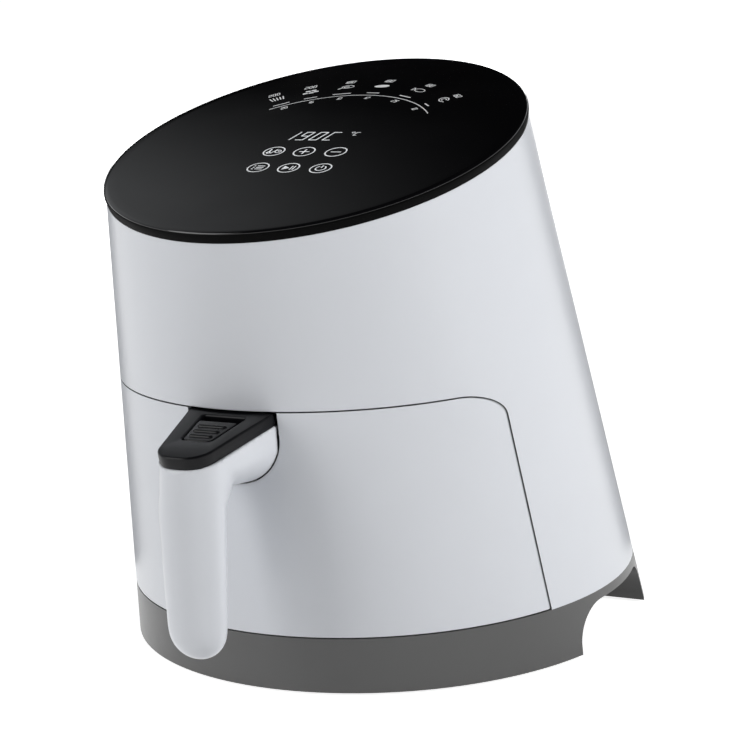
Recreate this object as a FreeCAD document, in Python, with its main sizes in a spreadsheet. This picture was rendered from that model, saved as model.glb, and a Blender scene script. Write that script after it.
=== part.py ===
# A basket-type hot-air fryer. A round, tapering body leans forward on a skirted
# base and is closed by a slanted touch panel. A drawer with a pan and a basket
# slides out of its front on the handle. All sizes are in millimetres; the drawer
# faces -Y, and each piece stands in the place it has in the closed appliance.
import FreeCAD, Part
import math
import os
import re
import Sketcher
from FreeCAD import Vector

doc = FreeCAD.newDocument("hot_air_fryer")
sheet = doc.addObject("Spreadsheet::Sheet", "sizes")
nodes = []

# Driving dimensions, each under its own name.
SIZES = {
    # Frame: the base's centre stands this far behind the middle of the whole object.
    "base_y": 32.7,
    # Body: a circle at the floor that narrows to an ellipse far above, shifted forward.
    "base_radius": 140.0,
    "crown_over": 34.6,
    "crown_half_width": 102.2,
    "crown_half_depth": 114.0,
    "crown_lean": 58.3,
    "seam_turn": 25.0,
    "foot_lift": 1.5,
    "skirt_height": 29.3,
    "skirt_wall": 3.0,
    "shell_wall": 3.0,
    "top_rise": 275.4,
    "top_tilt": 15.05,
    "flange_width": 10.0,
    "flange_thick": 2.4,
    "seat_gap": 0.3,
    # Base: hand pockets in the skirt, a ledge for the deck, the bottom plate and its feet.
    "pocket_y": 3.2,
    "pocket_half": 46.0,
    "pocket_height": 24.5,
    "pocket_corner": 20.0,
    "pocket_depth": 34.0,
    "pocket_wall": 1.8,
    "ledge_width": 9.0,
    "ledge_thick": 3.0,
    "plate_recess": 1.0,
    "plate_thick": 2.4,
    "vent_width": 4.0,
    "vent_pitch": 10.0,
    "vent_half_length": 28.0,
    "foot_reach": 70.0,
    "foot_radius": 9.0,
    "foot_stem": 3.0,
    "foot_barb": 4.2,
    "foot_barb_height": 2.5,
    "boss_inset": 11.1,
    "boss_radius": 5.0,
    "screw_radius": 1.5,
    "screw_head": 3.0,
    "screw_head_height": 1.6,
    "screw_length": 12.0,
    # Drawer bay: the deck with two runner rails and the round cooking chamber above.
    "deck_thick": 2.0,
    "deck_gap": 0.8,
    "rail_height": 2.0,
    "rail_width": 6.0,
    "rail_half_gap": 52.0,
    "rail_front": 100.0,
    "rail_rear": 36.0,
    "slide_gap": 0.3,
    "bay_gap": 2.5,
    "liner_wall": 0.8,
    "liner_front": 44.0,
    "head_room": 83.4,
    "duct_half": 36.0,
    "duct_drop": 8.0,
    "duct_height": 24.0,
    "duct_wall": 1.2,
    # Drawer: front panel, pan and the bracket between them.
    "seam_height": 147.3,
    "panel_inset_low": 16.0,
    "panel_inset_high": 11.4,
    "panel_corner": 14.0,
    "panel_gap": 0.8,
    "panel_wall": 3.0,
    "notch_half": 25.2,
    "notch_drop": 12.2,
    "pan_y": 28.0,
    "pan_inset": 40.0,
    "pan_taper": 8.0,
    "pan_drop": 9.7,
    "pan_wall": 1.2,
    "pan_lip": 3.0,
    "catch_tuck": 10.85,
    "catch_thick": 1.5,
    "catch_half": 6.0,
    "catch_drop": 10.0,
    "catch_bar": 2.1,
    "catch_window_height": 6.9,
    "catch_window_half": 4.3,
    "bracket_half": 26.0,
    "bracket_height": 51.0,
    "bracket_plate_height": 21.0,
    "gusset_width": 6.0,
    "magnet_size": 10.0,
    # Basket: hangs in the pan by its rim and carries the handle.
    "basket_gap": 5.0,
    "basket_wall": 1.0,
    "basket_lift": 10.0,
    "basket_rim": 6.0,
    "floor_hole_radius": 2.8,
    "floor_ring_step": 16.0,
    "slot_half": 2.2,
    "slot_height": 15.0,
    "slot_pitch": 24.0,
    "slot_first": 22.0,
    "bumper_radius": 5.0,
    "bumper_inset": 16.0,
    # Handle: the neck fills the notch, the grip hangs in front, a cover lies on top.
    "cover_tuck": 2.55,
    "cover_drop": 0.8,
    "cover_tilt": 12.3,
    "cover_thick": 5.8,
    "cover_half_root": 24.0,
    "cover_half_tip": 14.6,
    "cover_length": 54.6,
    "cover_corner": 12.0,
    "cover_edge": 1.2,
    "window_rear": 6.7,
    "window_front": 34.6,
    "window_half_rear": 12.6,
    "window_half_front": 8.3,
    "neck_tuck": 5.35,
    "neck_gap": 0.5,
    "arm_rise": 6.0,
    "grip_drop_top": 11.3,
    "grip_reach_top": 36.35,
    "grip_half_top": 17.1,
    "grip_deep_top": 13.2,
    "grip_fillet": 12.0,
    "grip_reach_mid": 37.2,
    "grip_half_mid": 16.9,
    "grip_deep_mid": 11.7,
    "grip_drop_end": 112.4,
    "grip_round": 15.0,
    "grip_reach_low": 41.25,
    "grip_half_low": 16.0,
    "grip_deep_low": 9.4,
    # Release slider in the cover, with its flange, latch strip and leaf spring.
    "slider_play": 0.5,
    "slider_side": 0.75,
    "slider_travel": 5.5,
    "slider_flange": 2.0,
    "slider_lap": 2.1,
    "rib_height": 0.7,
    "rib_width": 2.2,
    "rib_first": 18.6,
    "rib_pitch": 5.4,
    "rib_half": 7.2,
    "latch_thick": 1.6,
    "latch_half": 5.0,
    "latch_start": 14.0,
    "latch_rear": 9.6,
    "latch_drop": 18.0,
    "nose_half": 3.4,
    "nose_length": 4.4,
    "nose_thick": 2.0,
    "channel_depth": 5.0,
    "spring_thick": 0.5,
    "spring_width": 4.0,
    "spring_x": 10.6,
    "spring_reach": 6.0,
    "spring_drop": 3.6,
    # Basket bracket and its screws.
    "leg_inner": 9.0,
    "leg_outer": 15.0,
    "leg_height": 11.0,
    "neck_plate_half": 15.0,
    "neck_plate_drop": 15.8,
    "neck_plate_height": 12.5,
    "neck_plate_thick": 2.0,
    "neck_screw_rise": 3.2,
    "neck_screw_pitch": 6.4,
    # Hot air: heater tube, its guard, the two fans on one shaft and the motor.
    "heater_tube": 3.2,
    "heater_drop": 15.0,
    "heater_radius": 62.0,
    "heater_pitch": 16.0,
    "guard_drop": 27.0,
    "guard_wire": 1.5,
    "guard_inner": 30.0,
    "guard_inset": 10.0,
    "guard_post": 2.0,
    "shaft_radius": 3.0,
    "shaft_play": 0.08,
    "shaft_hole": 6.0,
    "fan_radius": 52.0,
    "fan_drop": 9.0,
    "fan_disc": 1.0,
    "fan_blade": 5.0,
    "hub_radius": 8.0,
    "hub_height": 6.5,
    "nut_half": 4.5,
    "nut_height": 3.0,
    "post_height": 7.0,
    "post_radius": 4.0,
    "post_reach": 38.0,
    "stage_radius": 45.0,
    "stage_thick": 1.5,
    "motor_radius": 30.0,
    "motor_height": 25.0,
    "cooler_radius": 36.0,
    "cooler_rise": 2.5,
    "cooler_height": 8.0,
    "blade_thick": 1.0,
    "sensor_radius": 6.0,
    "sensor_x": 62.0,
    "sensor_height": 8.0,
    # Slanted top: black carrier, glass, and the electronics under the touch field.
    "lid_rise": 3.3,
    "lid_inset": 2.8,
    "lid_flare": 0.9,
    "glass_rise": 2.5,
    "glass_belly": 1.6,
    "glass_flare": 1.8,
    "glass_crown": 0.5,
    "field_reach": 68.0,
    "board_half_width": 44.0,
    "board_half_length": 40.0,
    "board_thick": 1.6,
    "board_drop": 7.0,
    "board_post": 3.0,
    "board_inset": 5.0,
    "display_reach": 50.0,
    "display_half_width": 24.0,
    "display_half_length": 9.0,
    "display_rise": 8.6,
    "key_radius": 4.0,
    "key_pitch": 18.5,
    "key_row_rear": 71.0,
    "key_row_pitch": 20.5,
    # Rear: exhaust grille, cord gland, power board and drawer sensor.
    "grille_half": 46.0,
    "grille_drop": 2.0,
    "grille_height": 42.0,
    "grille_corner": 6.0,
    "louvre_half": 40.0,
    "louvre_height": 3.2,
    "louvre_pitch": 6.4,
    "gland_height": 62.0,
    "gland_radius": 9.0,
    "gland_head": 13.0,
    "gland_bore": 4.2,
    "gland_proud": 5.0,
    "gland_nut": 4.0,
    "power_gap": 5.7,
    "power_half": 40.0,
    "power_low": 46.0,
    "power_high": 118.0,
    "power_thick": 1.6,
    "relay_size": 14.0,
    "relay_depth": 7.0,
    "sink_half": 12.0,
    "switch_size": 8.0,
    "switch_height": 60.0,
}
for row, (alias, number) in enumerate(SIZES.items(), 1):
    sheet.set("A%d" % row, alias)
    sheet.set("B%d" % row, str(number))
    sheet.setAlias("B%d" % row, alias)
doc.recompute()

# Heights and places that several pieces share, as sheet expressions.
SKIRT_TOP = "(foot_lift + skirt_height)"
PLATE_LOW = "(foot_lift + plate_recess)"
PLATE_TOP = "(foot_lift + plate_recess + plate_thick)"
DECK_TOP = "(foot_lift + skirt_height + deck_thick)"
RAIL_TOP = "(foot_lift + skirt_height + deck_thick + rail_height)"
PAN_LOW = "(foot_lift + skirt_height + deck_thick + rail_height + slide_gap)"
PAN_TOP = "(foot_lift + seam_height - pan_drop)"
PAN_HEIGHT = "(" + PAN_TOP + " - " + PAN_LOW + ")"
SEAM = "(foot_lift + seam_height)"
CROWN_RISE = "(top_rise + crown_over)"
PAN_RADIUS = "(base_radius - pan_inset)"
PAN_BASE_RADIUS = "(base_radius - pan_inset - pan_taper)"
LINER_IN = "(%s + pan_lip + bay_gap)" % PAN_RADIUS
LINER_OUT = "(%s + pan_lip + bay_gap + liner_wall)" % PAN_RADIUS
GUARD_OUTER = "(%s - guard_inset)" % PAN_RADIUS
ROOF_LOW = "(foot_lift + top_rise - head_room)"
ROOF_TOP = "(foot_lift + top_rise - head_room + liner_wall)"
STAGE_TOP = "(%s + post_height + stage_thick)" % ROOF_TOP
MOTOR_TOP = "(%s + motor_height)" % STAGE_TOP
DUCT_TOP = "(%s - duct_drop)" % ROOF_LOW
DUCT_LOW = "(%s - duct_height)" % DUCT_TOP
GRILLE_TOP = "(%s - grille_drop)" % ROOF_LOW
GRILLE_LOW = "(%s - grille_height)" % GRILLE_TOP
GRILLE_MIDDLE = "(%s - grille_height / 2)" % GRILLE_TOP
BASKET_RADIUS = "(%s - pan_wall - basket_gap)" % PAN_RADIUS
BASKET_BASE_RADIUS = "(%s - pan_wall - basket_gap)" % PAN_BASE_RADIUS
BUMPER_REACH = "(%s - bumper_inset)" % PAN_BASE_RADIUS
BASKET_LOW = "(foot_lift + skirt_height + deck_thick + rail_height + slide_gap + pan_wall + basket_lift)"
NOTCH_Z = "(foot_lift + seam_height - notch_drop)"
SEAM_SHARE = "(seam_height / %s)" % CROWN_RISE
SIDE_SEAM = "(base_radius + (crown_half_width - base_radius) * %s)" % SEAM_SHARE
FRONT_SEAM = "(base_radius + (crown_half_depth + crown_lean - base_radius) * %s)" % SEAM_SHARE
PANEL_HALF_LOW = "(base_radius - panel_inset_low)"
PANEL_HALF_HIGH = "(%s - panel_inset_high)" % SIDE_SEAM
COVER_Y = "(%s - cover_tuck)" % FRONT_SEAM
COVER_Z = "(foot_lift + seam_height - cover_drop)"
NECK_Y = "(%s - neck_tuck)" % FRONT_SEAM
CATCH_Y = "(%s - catch_tuck)" % FRONT_SEAM
CATCH_TOP = "(foot_lift + seam_height - catch_drop)"
BRACKET_TOP = "(%s - notch_half - pan_lip)" % NOTCH_Z
NECK_PLATE_TOP = "(foot_lift + seam_height - neck_plate_drop)"
NECK_PLATE_LOW = "(%s - neck_plate_height)" % NECK_PLATE_TOP
POCKET_IN = "(base_radius - pocket_depth)"
BOSS_REACH = "((base_radius - skirt_wall - boss_inset) / sqrt(2))"
POWER_Y = "(%s - pan_y + power_gap)" % LINER_OUT
GLAND_Z = "(foot_lift + gland_height)"
REAR_SLOPE = "((base_radius + crown_lean - crown_half_depth) / %s)" % CROWN_RISE
GLAND_OUT = "(base_radius - gland_height * " + REAR_SLOPE + " + gland_proud)"
GLAND_IN = "(base_radius - (gland_height + gland_head) * " + REAR_SLOPE + " - shell_wall - gland_nut)"
FAR = "(2 * base_radius)"
TALL = "(2 * %s)" % CROWN_RISE


def bound(text):
    """The expression with each size's name read from the sheet."""
    return re.sub(
        r"[a-z][a-z0-9_]*",
        lambda word: "sizes." + word.group() if word.group() in SIZES else word.group(),
        text,
    )


def value(alias):
    """A size as a number, for shapes and counts that no feature can bind."""
    return float(sheet.get(alias))


def bind(obj, **sizes_of):
    for prop, text in sizes_of.items():
        obj.setExpression(prop, bound(text))
    return obj


def place(obj, at, axis=None, angle=0.0, angle_text=None):
    """Put obj at a point given as three expressions, turned about axis."""
    if axis:
        obj.Placement = FreeCAD.Placement(Vector(), FreeCAD.Rotation(Vector(*axis), angle))
    for letter, text in zip("xyz", at):
        obj.setExpression("Placement.Base." + letter, bound(text))
    if angle_text:
        obj.setExpression("Placement.Rotation.Angle", bound(angle_text))
    return obj


def box(name, low, high):
    """A block between two corners given as expressions."""
    block = doc.addObject("Part::Box", name)
    sides = ["(%s) - (%s)" % (far, near) for near, far in zip(low, high)]
    bind(block, Length=sides[0], Width=sides[1], Height=sides[2])
    return place(block, low)


AXES = {"z": ((0, 0, 1), 0.0), "y": ((1, 0, 0), -90.0), "-y": ((1, 0, 0), 90.0), "x": ((0, 1, 0), 90.0)}


def rod(name, radius, at, length, axis="z"):
    """A cylinder that starts at a point and runs along an axis."""
    cylinder = doc.addObject("Part::Cylinder", name)
    bind(cylinder, Radius=radius, Height=length)
    return place(cylinder, at, *AXES[axis])


def cut(name, base, *tools):
    for number, tool in enumerate(tools):
        step = doc.addObject("Part::Cut", name if tool is tools[-1] else "%s_cut%d" % (name, number))
        step.Base = base
        step.Tool = tool
        base = step
    return base


def fuse(name, *shapes):
    joined = doc.addObject("Part::MultiFuse", name)
    joined.Shapes = list(shapes)
    joined.Refine = True
    return joined


def common(name, *shapes):
    shared = doc.addObject("Part::MultiCommon", name)
    shared.Shapes = list(shapes)
    return shared


def group(name, *shapes):
    gathered = doc.addObject("Part::Compound", name)
    gathered.Links = list(shapes)
    return gathered


def node(obj, label):
    """Name a finished sub-part, and stand it in the object's own frame."""
    obj.Label = label
    placed = dict(obj.ExpressionEngine)
    y_text = placed.get(".Placement.Base.y", placed.get("Placement.Base.y", "0"))
    obj.setExpression("Placement.Base.y", "(%s) + sizes.base_y" % y_text)
    nodes.append(obj)
    return obj


def body(name, at=("0", "0", "0"), axis=None, angle=0.0, angle_text=None):
    return place(doc.addObject("PartDesign::Body", name), at, axis, angle, angle_text)


def sketch(owner, name, plane):
    drawn = owner.newObject("Sketcher::SketchObject", name)
    support = [item for item in owner.Origin.OriginFeatures if item.Role == plane][0]
    drawn.AttachmentSupport = [(support, "")]
    drawn.MapMode = "FlatFace"
    return drawn


def polygon(drawn, corners):
    """Add a closed outline with straight sides whose corners are bound to the sheet."""
    count = len(corners)
    first = drawn.GeometryCount
    ring = [
        Vector(math.cos(2 * math.pi * k / count), math.sin(2 * math.pi * k / count), 0)
        for k in range(count)
    ]
    for k in range(count):
        drawn.addGeometry(Part.LineSegment(ring[k], ring[(k + 1) % count]))
    for k in range(count):
        after = first + (k + 1) % count
        drawn.addConstraint(Sketcher.Constraint("Coincident", first + k, 2, after, 1))
    for k, (across, up) in enumerate(corners):
        for kind, start, text in (("DistanceX", ring[k].x, across), ("DistanceY", ring[k].y, up)):
            index = drawn.addConstraint(Sketcher.Constraint(kind, -1, 1, first + k, 1, start))
            drawn.setExpression("Constraints[%d]" % index, bound(text))
    return drawn


def circle(drawn, radius, across="0", up="0"):
    """Add a circle whose radius and centre are bound to the sheet."""
    index = drawn.addGeometry(Part.Circle(Vector(1, 1, 0), Vector(0, 0, 1), 1))
    bindings = (
        (Sketcher.Constraint("Radius", index, 1.0), radius),
        (Sketcher.Constraint("DistanceX", -1, 1, index, 3, 1.0), across),
        (Sketcher.Constraint("DistanceY", -1, 1, index, 3, 1.0), up),
    )
    for constraint, text in bindings:
        number = drawn.addConstraint(constraint)
        drawn.setExpression("Constraints[%d]" % number, bound(text))
    return drawn


def pad(owner, name, drawn, length, reverse=False):
    feature = owner.newObject("PartDesign::Pad", name)
    feature.Profile = drawn
    feature.Reversed = reverse
    bind(feature, Length=length)
    return feature


def pocket(owner, name, drawn, reverse=False, midplane=False):
    """Cut the sketch right through the body on one side of its plane, or on both."""
    feature = owner.newObject("PartDesign::Pocket", name)
    feature.Profile = drawn
    feature.Type = "ThroughAll"
    feature.Reversed = reverse
    feature.Midplane = midplane
    return feature


def turned(owner, name, corners):
    """A solid turned about the Z axis from a half section in the XZ plane."""
    drawn = polygon(sketch(owner, name + "_section", "XZ_Plane"), corners)
    feature = owner.newObject("PartDesign::Revolution", name)
    feature.Profile = drawn
    feature.ReferenceAxis = (drawn, ["V_Axis"])
    feature.Angle = 360
    return feature


def around(owner, name, feature, count):
    """Repeat a feature evenly about the body's Z axis."""
    pattern = owner.newObject("PartDesign::PolarPattern", name)
    pattern.Originals = [feature]
    pattern.Axis = ([item for item in owner.Origin.OriginFeatures if item.Role == "Z_Axis"][0], [""])
    pattern.Angle = 360
    pattern.Occurrences = count
    owner.Tip = pattern
    return pattern


def edges_along(shape, direction, wanted):
    """Numbers of the straight edges that run along a direction and pass a test on their centre."""
    found = []
    for number, edge in enumerate(shape.Edges, 1):
        if edge.Curve.TypeId != "Part::GeomLine":
            continue
        if abs(edge.tangentAt(edge.FirstParameter).dot(direction)) > 0.999 and wanted(edge.CenterOfMass):
            found.append(number)
    return found


def rounded(name, solid, numbers, radius):
    """Round some edges of a Part object."""
    fillet = doc.addObject("Part::Fillet", name)
    fillet.Base = solid
    fillet.Edges = [(number, radius, radius) for number in numbers]
    return fillet


def softened(owner, name, feature, numbers, radius):
    """Round some edges of a body."""
    fillet = owner.newObject("PartDesign::Fillet", name)
    fillet.Base = (feature, ["Edge%d" % number for number in numbers])
    bind(fillet, Radius=radius)
    return fillet


def hull(name, inset="0"):
    """The body's outer form as a solid, drawn in by inset all round.

    Its seam is turned away from the grille, the gland and the drawer.
    """
    deep = value("crown_half_depth") >= value("crown_half_width")
    turn = 90.0 if deep else 0.0
    halves = ("crown_half_width", "crown_half_depth")
    narrow, wide = halves if deep else reversed(halves)
    low = doc.addObject("Part::Ellipse", name + "_low")
    bind(low, MajorRadius="base_radius - (%s)" % inset, MinorRadius="base_radius - (%s)" % inset)
    place(low, ("0", "0", "foot_lift"), (0, 0, 1), turn)
    high = doc.addObject("Part::Ellipse", name + "_high")
    bind(high, MajorRadius="%s - (%s)" % (wide, inset), MinorRadius="%s - (%s)" % (narrow, inset))
    place(high, ("0", "-crown_lean", "foot_lift + " + CROWN_RISE), (0, 0, 1), turn)
    for section in (low, high):
        bind(section, Angle1="seam_turn", Angle2="seam_turn")
    form = doc.addObject("Part::Loft", name)
    form.Sections = [low, high]
    form.Solid = True
    form.Ruled = True
    return form


def slab(name, low, high):
    """A layer between two heights, wider than the whole body."""
    return box(name, ("-" + FAR, "-" + FAR, low), (FAR, FAR, high))


def on_top(u, v, w):
    """A point of the slanted top: u across, v up the slope, w out of it."""
    return (
        u,
        "(%s) * cos(top_tilt) - (%s) * sin(top_tilt)" % (v, w),
        "foot_lift + top_rise + (%s) * sin(top_tilt) + (%s) * cos(top_tilt)" % (v, w),
    )


def top_box(name, low, high):
    block = box(name, low, high)
    return place(block, on_top(*low), (1, 0, 0), 1.0, "top_tilt")


def top_rod(name, radius, at, length):
    return place(rod(name, radius, at, length), on_top(*at), (1, 0, 0), 1.0, "top_tilt")


def on_cover(u, v, w):
    """A point of the handle cover's slope: u across, v towards the body, w out of it."""
    return (
        u,
        "(%s) * cos(cover_tilt) - (%s) * sin(cover_tilt) - %s" % (v, w, COVER_Y),
        "%s + (%s) * sin(cover_tilt) + (%s) * cos(cover_tilt)" % (COVER_Z, v, w),
    )


def cover_box(name, low, high):
    block = box(name, low, high)
    return place(block, on_cover(*low), (1, 0, 0), 1.0, "cover_tilt")


def cover_body(name):
    return body(name, on_cover("0", "0", "0"), (1, 0, 0), 1.0, "cover_tilt")


def corners_of(reach):
    """The four corners of a square about the base's centre."""
    return [(x + reach, y + reach) for x in ("", "-") for y in ("", "-")]


# Base skirt: a grey ring wall with a ledge on top, four screw bosses, and a hand
# pocket on each side that is open below.
outer_form = hull("outer_form")
skirt_layer = common("skirt_layer", outer_form, slab("skirt_slab", "foot_lift", SKIRT_TOP))
skirt_void = cut(
    "skirt_void",
    hull("skirt_inside", "skirt_wall"),
    slab("ledge_slab", SKIRT_TOP + " - ledge_thick", TALL),
)
skirt_frame = cut("skirt_frame", skirt_layer, skirt_void, hull("ledge_void", "skirt_wall + ledge_width"))


def arch(name, grow):
    """The hand pockets' profile, run across the whole base."""
    half = "(pocket_half + %s)" % grow
    block = box(
        name + "_block",
        ("-" + FAR, "pocket_y - " + half, "0 - foot_lift"),
        (FAR, "pocket_y + " + half, "foot_lift + pocket_height + " + grow),
    )
    doc.recompute()
    upper = edges_along(block.Shape, Vector(1, 0, 0), lambda centre: centre.z > value("foot_lift"))
    extra = value(grow) if grow in SIZES else 0.0
    return rounded(name, block, upper, value("pocket_corner") + extra)


pocket_core = box(
    "pocket_core",
    ("pocket_wall - " + POCKET_IN, "-" + FAR, "-" + FAR),
    (POCKET_IN + " - pocket_wall", FAR, FAR),
)
pocket_block = cut(
    "pocket_block",
    common("pocket_layer", arch("pocket_outside", "pocket_wall"), hull("pocket_end", "skirt_wall / 2")),
    pocket_core,
    slab("pocket_foot", "-" + FAR, "foot_lift"),
)
hollow_core = box(
    "hollow_core",
    ("-" + POCKET_IN, "-" + FAR, "-" + FAR),
    (POCKET_IN, FAR, FAR),
)
pocket_hollow = cut("pocket_hollow", arch("pocket_inside", "0"), hollow_core)
bosses = [
    rod("boss%d" % k, "boss_radius", (x, y, PLATE_TOP), SKIRT_TOP + " - " + PLATE_TOP)
    for k, (x, y) in enumerate(corners_of(BOSS_REACH))
]
boss_bores = [
    rod("boss_bore%d" % k, "screw_radius", (x, y, PLATE_TOP), "screw_length - plate_thick + seat_gap")
    for k, (x, y) in enumerate(corners_of(BOSS_REACH))
]
skirt_solid = fuse(
    "skirt_solid",
    cut("skirt_arches", skirt_frame, pocket_hollow),
    cut("pocket_shells", pocket_block, pocket_hollow),
    *bosses,
)
node(cut("skirt", skirt_solid, group("skirt_bores", *boss_bores)), "base_skirt")

# Bottom plate: lies inside the skirt under the bosses, with an intake grille.
plate_form = common(
    "plate_form",
    hull("plate_edge", "skirt_wall + seat_gap"),
    slab("plate_slab", PLATE_LOW, PLATE_TOP),
)
plate_core = box(
    "plate_core",
    ("pocket_wall + seat_gap - " + POCKET_IN, "-" + FAR, "-" + FAR),
    (POCKET_IN + " - pocket_wall - seat_gap", FAR, FAR),
)
plate_notch = cut(
    "plate_notch",
    box(
        "plate_notch_block",
        ("-" + FAR, "pocket_y - pocket_half - pocket_wall - seat_gap", "-" + FAR),
        (FAR, "pocket_y + pocket_half + pocket_wall + seat_gap", FAR),
    ),
    plate_core,
)
plate_holes = [
    rod("plate_hole%d" % k, "screw_radius + seat_gap", (x, y, "0"), FAR)
    for k, (x, y) in enumerate(corners_of(BOSS_REACH))
]
stem_holes = [
    rod("stem_hole%d" % k, "foot_stem", (x, y, "0"), FAR)
    for k, (x, y) in enumerate(corners_of("foot_reach"))
]
vents = [
    box(
        "intake%d" % k,
        ("-vent_half_length", "%d * vent_pitch - vent_width / 2" % (k - 3), "0"),
        ("vent_half_length", "%d * vent_pitch + vent_width / 2" % (k - 3), FAR),
    )
    for k in range(7)
]
node(
    cut("bottom", plate_form, plate_notch, group("plate_cuts", *plate_holes, *stem_holes, *vents)),
    "bottom_plate",
)

# Rubber feet: round pads under the bottom plate, each held by a barbed stem.
feet = []
for k, (x, y) in enumerate(corners_of("foot_reach")):
    pad_rod = rod("foot_pad%d" % k, "foot_radius", (x, y, "0"), PLATE_LOW)
    stem = rod("foot_stem%d" % k, "foot_stem", (x, y, "0"), PLATE_TOP + " + foot_barb_height")
    barb = rod("foot_barb%d" % k, "foot_barb", (x, y, PLATE_TOP), "foot_barb_height")
    feet.append(fuse("foot%d" % k, pad_rod, stem, barb))
node(group("feet", *feet), "rubber_feet")

# Base screws: hold the bottom plate up against the four bosses.
base_screws = []
for k, (x, y) in enumerate(corners_of(BOSS_REACH)):
    thread = rod("base_thread%d" % k, "screw_radius", (x, y, PLATE_LOW), "screw_length")
    head_at = (x, y, PLATE_LOW + " - plate_recess")
    head = rod("base_head%d" % k, "screw_head", head_at, "plate_recess")
    base_screws.append(fuse("base_screw%d" % k, thread, head))
node(group("base_screw_set", *base_screws), "base_screws")

# Drawer deck: lies on the skirt's ledge, with two rails that the pan runs on.
deck_layer = slab("deck_slab", SKIRT_TOP, DECK_TOP)
rails = [
    box(
        "rail_" + side,
        (sign + "rail_half_gap - rail_width / 2", "-rail_front - pan_y", SKIRT_TOP),
        (sign + "rail_half_gap + rail_width / 2", "rail_rear", RAIL_TOP),
    )
    for side, sign in (("left", "-"), ("right", ""))
]
deck_solid = fuse("deck_solid", deck_layer, *rails)
node(common("deck", deck_solid, hull("deck_edge", "panel_wall + deck_gap")), "drawer_deck")


def front_prism(name, grow, low):
    """The drawer front's outline, run forward from the middle of the body."""
    owner = body(name)
    draft = "((%s - %s) / (seam_height - skirt_height))" % (PANEL_HALF_LOW, PANEL_HALF_HIGH)
    half_low = "(%s - (%s - %s) * %s + %s)" % (PANEL_HALF_LOW, low, SKIRT_TOP, draft, grow)
    half_high = "(%s + %s)" % (PANEL_HALF_HIGH, grow)
    high = SEAM + " + " + grow
    corners = [
        ("-" + half_low, low),
        (half_low, low),
        (half_high, high),
        ("-" + half_high, high),
    ]
    outline = polygon(sketch(owner, name + "_sketch", "XZ_Plane"), corners)
    block = pad(owner, name + "_pad", outline, FAR)
    doc.recompute()
    middle = value("seam_height") / 2
    upper = edges_along(block.Shape, Vector(0, 1, 0), lambda centre: centre.z > middle)
    softened(owner, name + "_corners", block, upper, "panel_corner + " + grow)
    return owner


def rear_prism(name, grow):
    """The exhaust grille's outline, run back from the middle of the body."""
    block = box(
        name + "_block",
        ("-grille_half - " + grow, "0", GRILLE_LOW + " - " + grow),
        ("grille_half + " + grow, FAR, GRILLE_TOP + " + " + grow),
    )
    doc.recompute()
    extra = value(grow) if grow in SIZES else 0.0
    along = edges_along(block.Shape, Vector(0, 1, 0), lambda centre: True)
    return rounded(name, block, along, value("grille_corner") + extra)


def above_top(name, offset):
    """Everything above a plane parallel to the slanted top."""
    return top_box(name, ("-" + FAR, "-" + FAR, offset), (FAR, FAR, TALL))


# Outer shell: the white wall, with a flange under the lid, the drawer's opening
# in front, the grille's opening and the gland's hole behind.
shell_form = cut(
    "shell_form",
    outer_form,
    above_top("shell_top", "0"),
    slab("shell_foot", "-" + FAR, SKIRT_TOP),
)
shell_void = cut(
    "shell_void",
    hull("shell_inside", "shell_wall"),
    above_top("flange_top", "-flange_thick"),
)
gland_at = ("0", "0", GLAND_Z)
node(
    cut(
        "shell",
        shell_form,
        shell_void,
        hull("flange_inside", "flange_width"),
        front_prism("front_opening", "panel_gap", "foot_lift"),
        rear_prism("rear_opening", "seat_gap"),
        rod("gland_hole", "gland_radius + seat_gap", gland_at, FAR, "y"),
    ),
    "outer_shell",
)

# Rear grille: a louvred insert that continues the shell's surface.
louvres = [
    box(
        "louvre%d" % k,
        ("-louvre_half", "0", "%s + %d * louvre_pitch - louvre_height / 2" % (GRILLE_MIDDLE, k)),
        ("louvre_half", FAR, "%s + %d * louvre_pitch + louvre_height / 2" % (GRILLE_MIDDLE, k)),
    )
    for k in (-2, -1, 0, 1, 2)
]
grille_skin = common("grille_skin", outer_form, rear_prism("grille_outline", "0"))
node(
    cut("grille", grille_skin, hull("grille_back", "shell_wall"), group("grille_slots", *louvres)),
    "rear_grille",
)

# Cord gland: a flanged bush in the rear wall, held inside by a nut. It leads in the mains cord.
gland_start = ("0", GLAND_IN, GLAND_Z)
gland_length = GLAND_OUT + " - " + GLAND_IN
gland_bush = rod("gland_bush", "gland_radius", gland_start, gland_length, "y")
gland_collar = rod("gland_collar", "gland_head", gland_start, gland_length, "y")
gland_rim = cut("gland_rim", gland_collar, hull("gland_seat", "-seat_gap"))
gland_bore = rod("gland_bore_rod", "gland_bore", gland_at, FAR, "y")
node(cut("gland", fuse("gland_whole", gland_bush, gland_rim), gland_bore), "cord_gland")
nut_ring = common("nut_ring", gland_collar, hull("nut_limit", "shell_wall + seat_gap"))
node(cut("gland_ring", nut_ring, gland_bush), "gland_nut")

# Chamber liner: a round steel drum whose upper part is closed by the roof and
# whose lower part is open towards the drawer.
chamber_y = "-pan_y"
drum = rod("drum", LINER_OUT, ("0", chamber_y, DECK_TOP), ROOF_TOP + " - " + DECK_TOP)
drum_void = rod("drum_void", LINER_IN, ("0", chamber_y, "0"), ROOF_LOW)
cheeks = box(
    "cheeks",
    ("-" + LINER_OUT, "-pan_y - liner_front", DECK_TOP),
    (LINER_OUT, chamber_y, SEAM + " + panel_gap"),
)
cheeks_void = box(
    "cheeks_void",
    ("-" + LINER_IN, "-" + FAR, "0"),
    (LINER_IN, chamber_y, SEAM + " + panel_gap"),
)
liner_whole = common(
    "liner_whole",
    fuse("liner_solid", drum, cheeks),
    hull("liner_edge", "shell_wall + seat_gap"),
)
duct_at = ("-duct_half", "0", DUCT_LOW)
duct_to = ("duct_half", FAR, DUCT_TOP)
sensor_bore = "sensor_radius - 2 * seat_gap"
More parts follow.
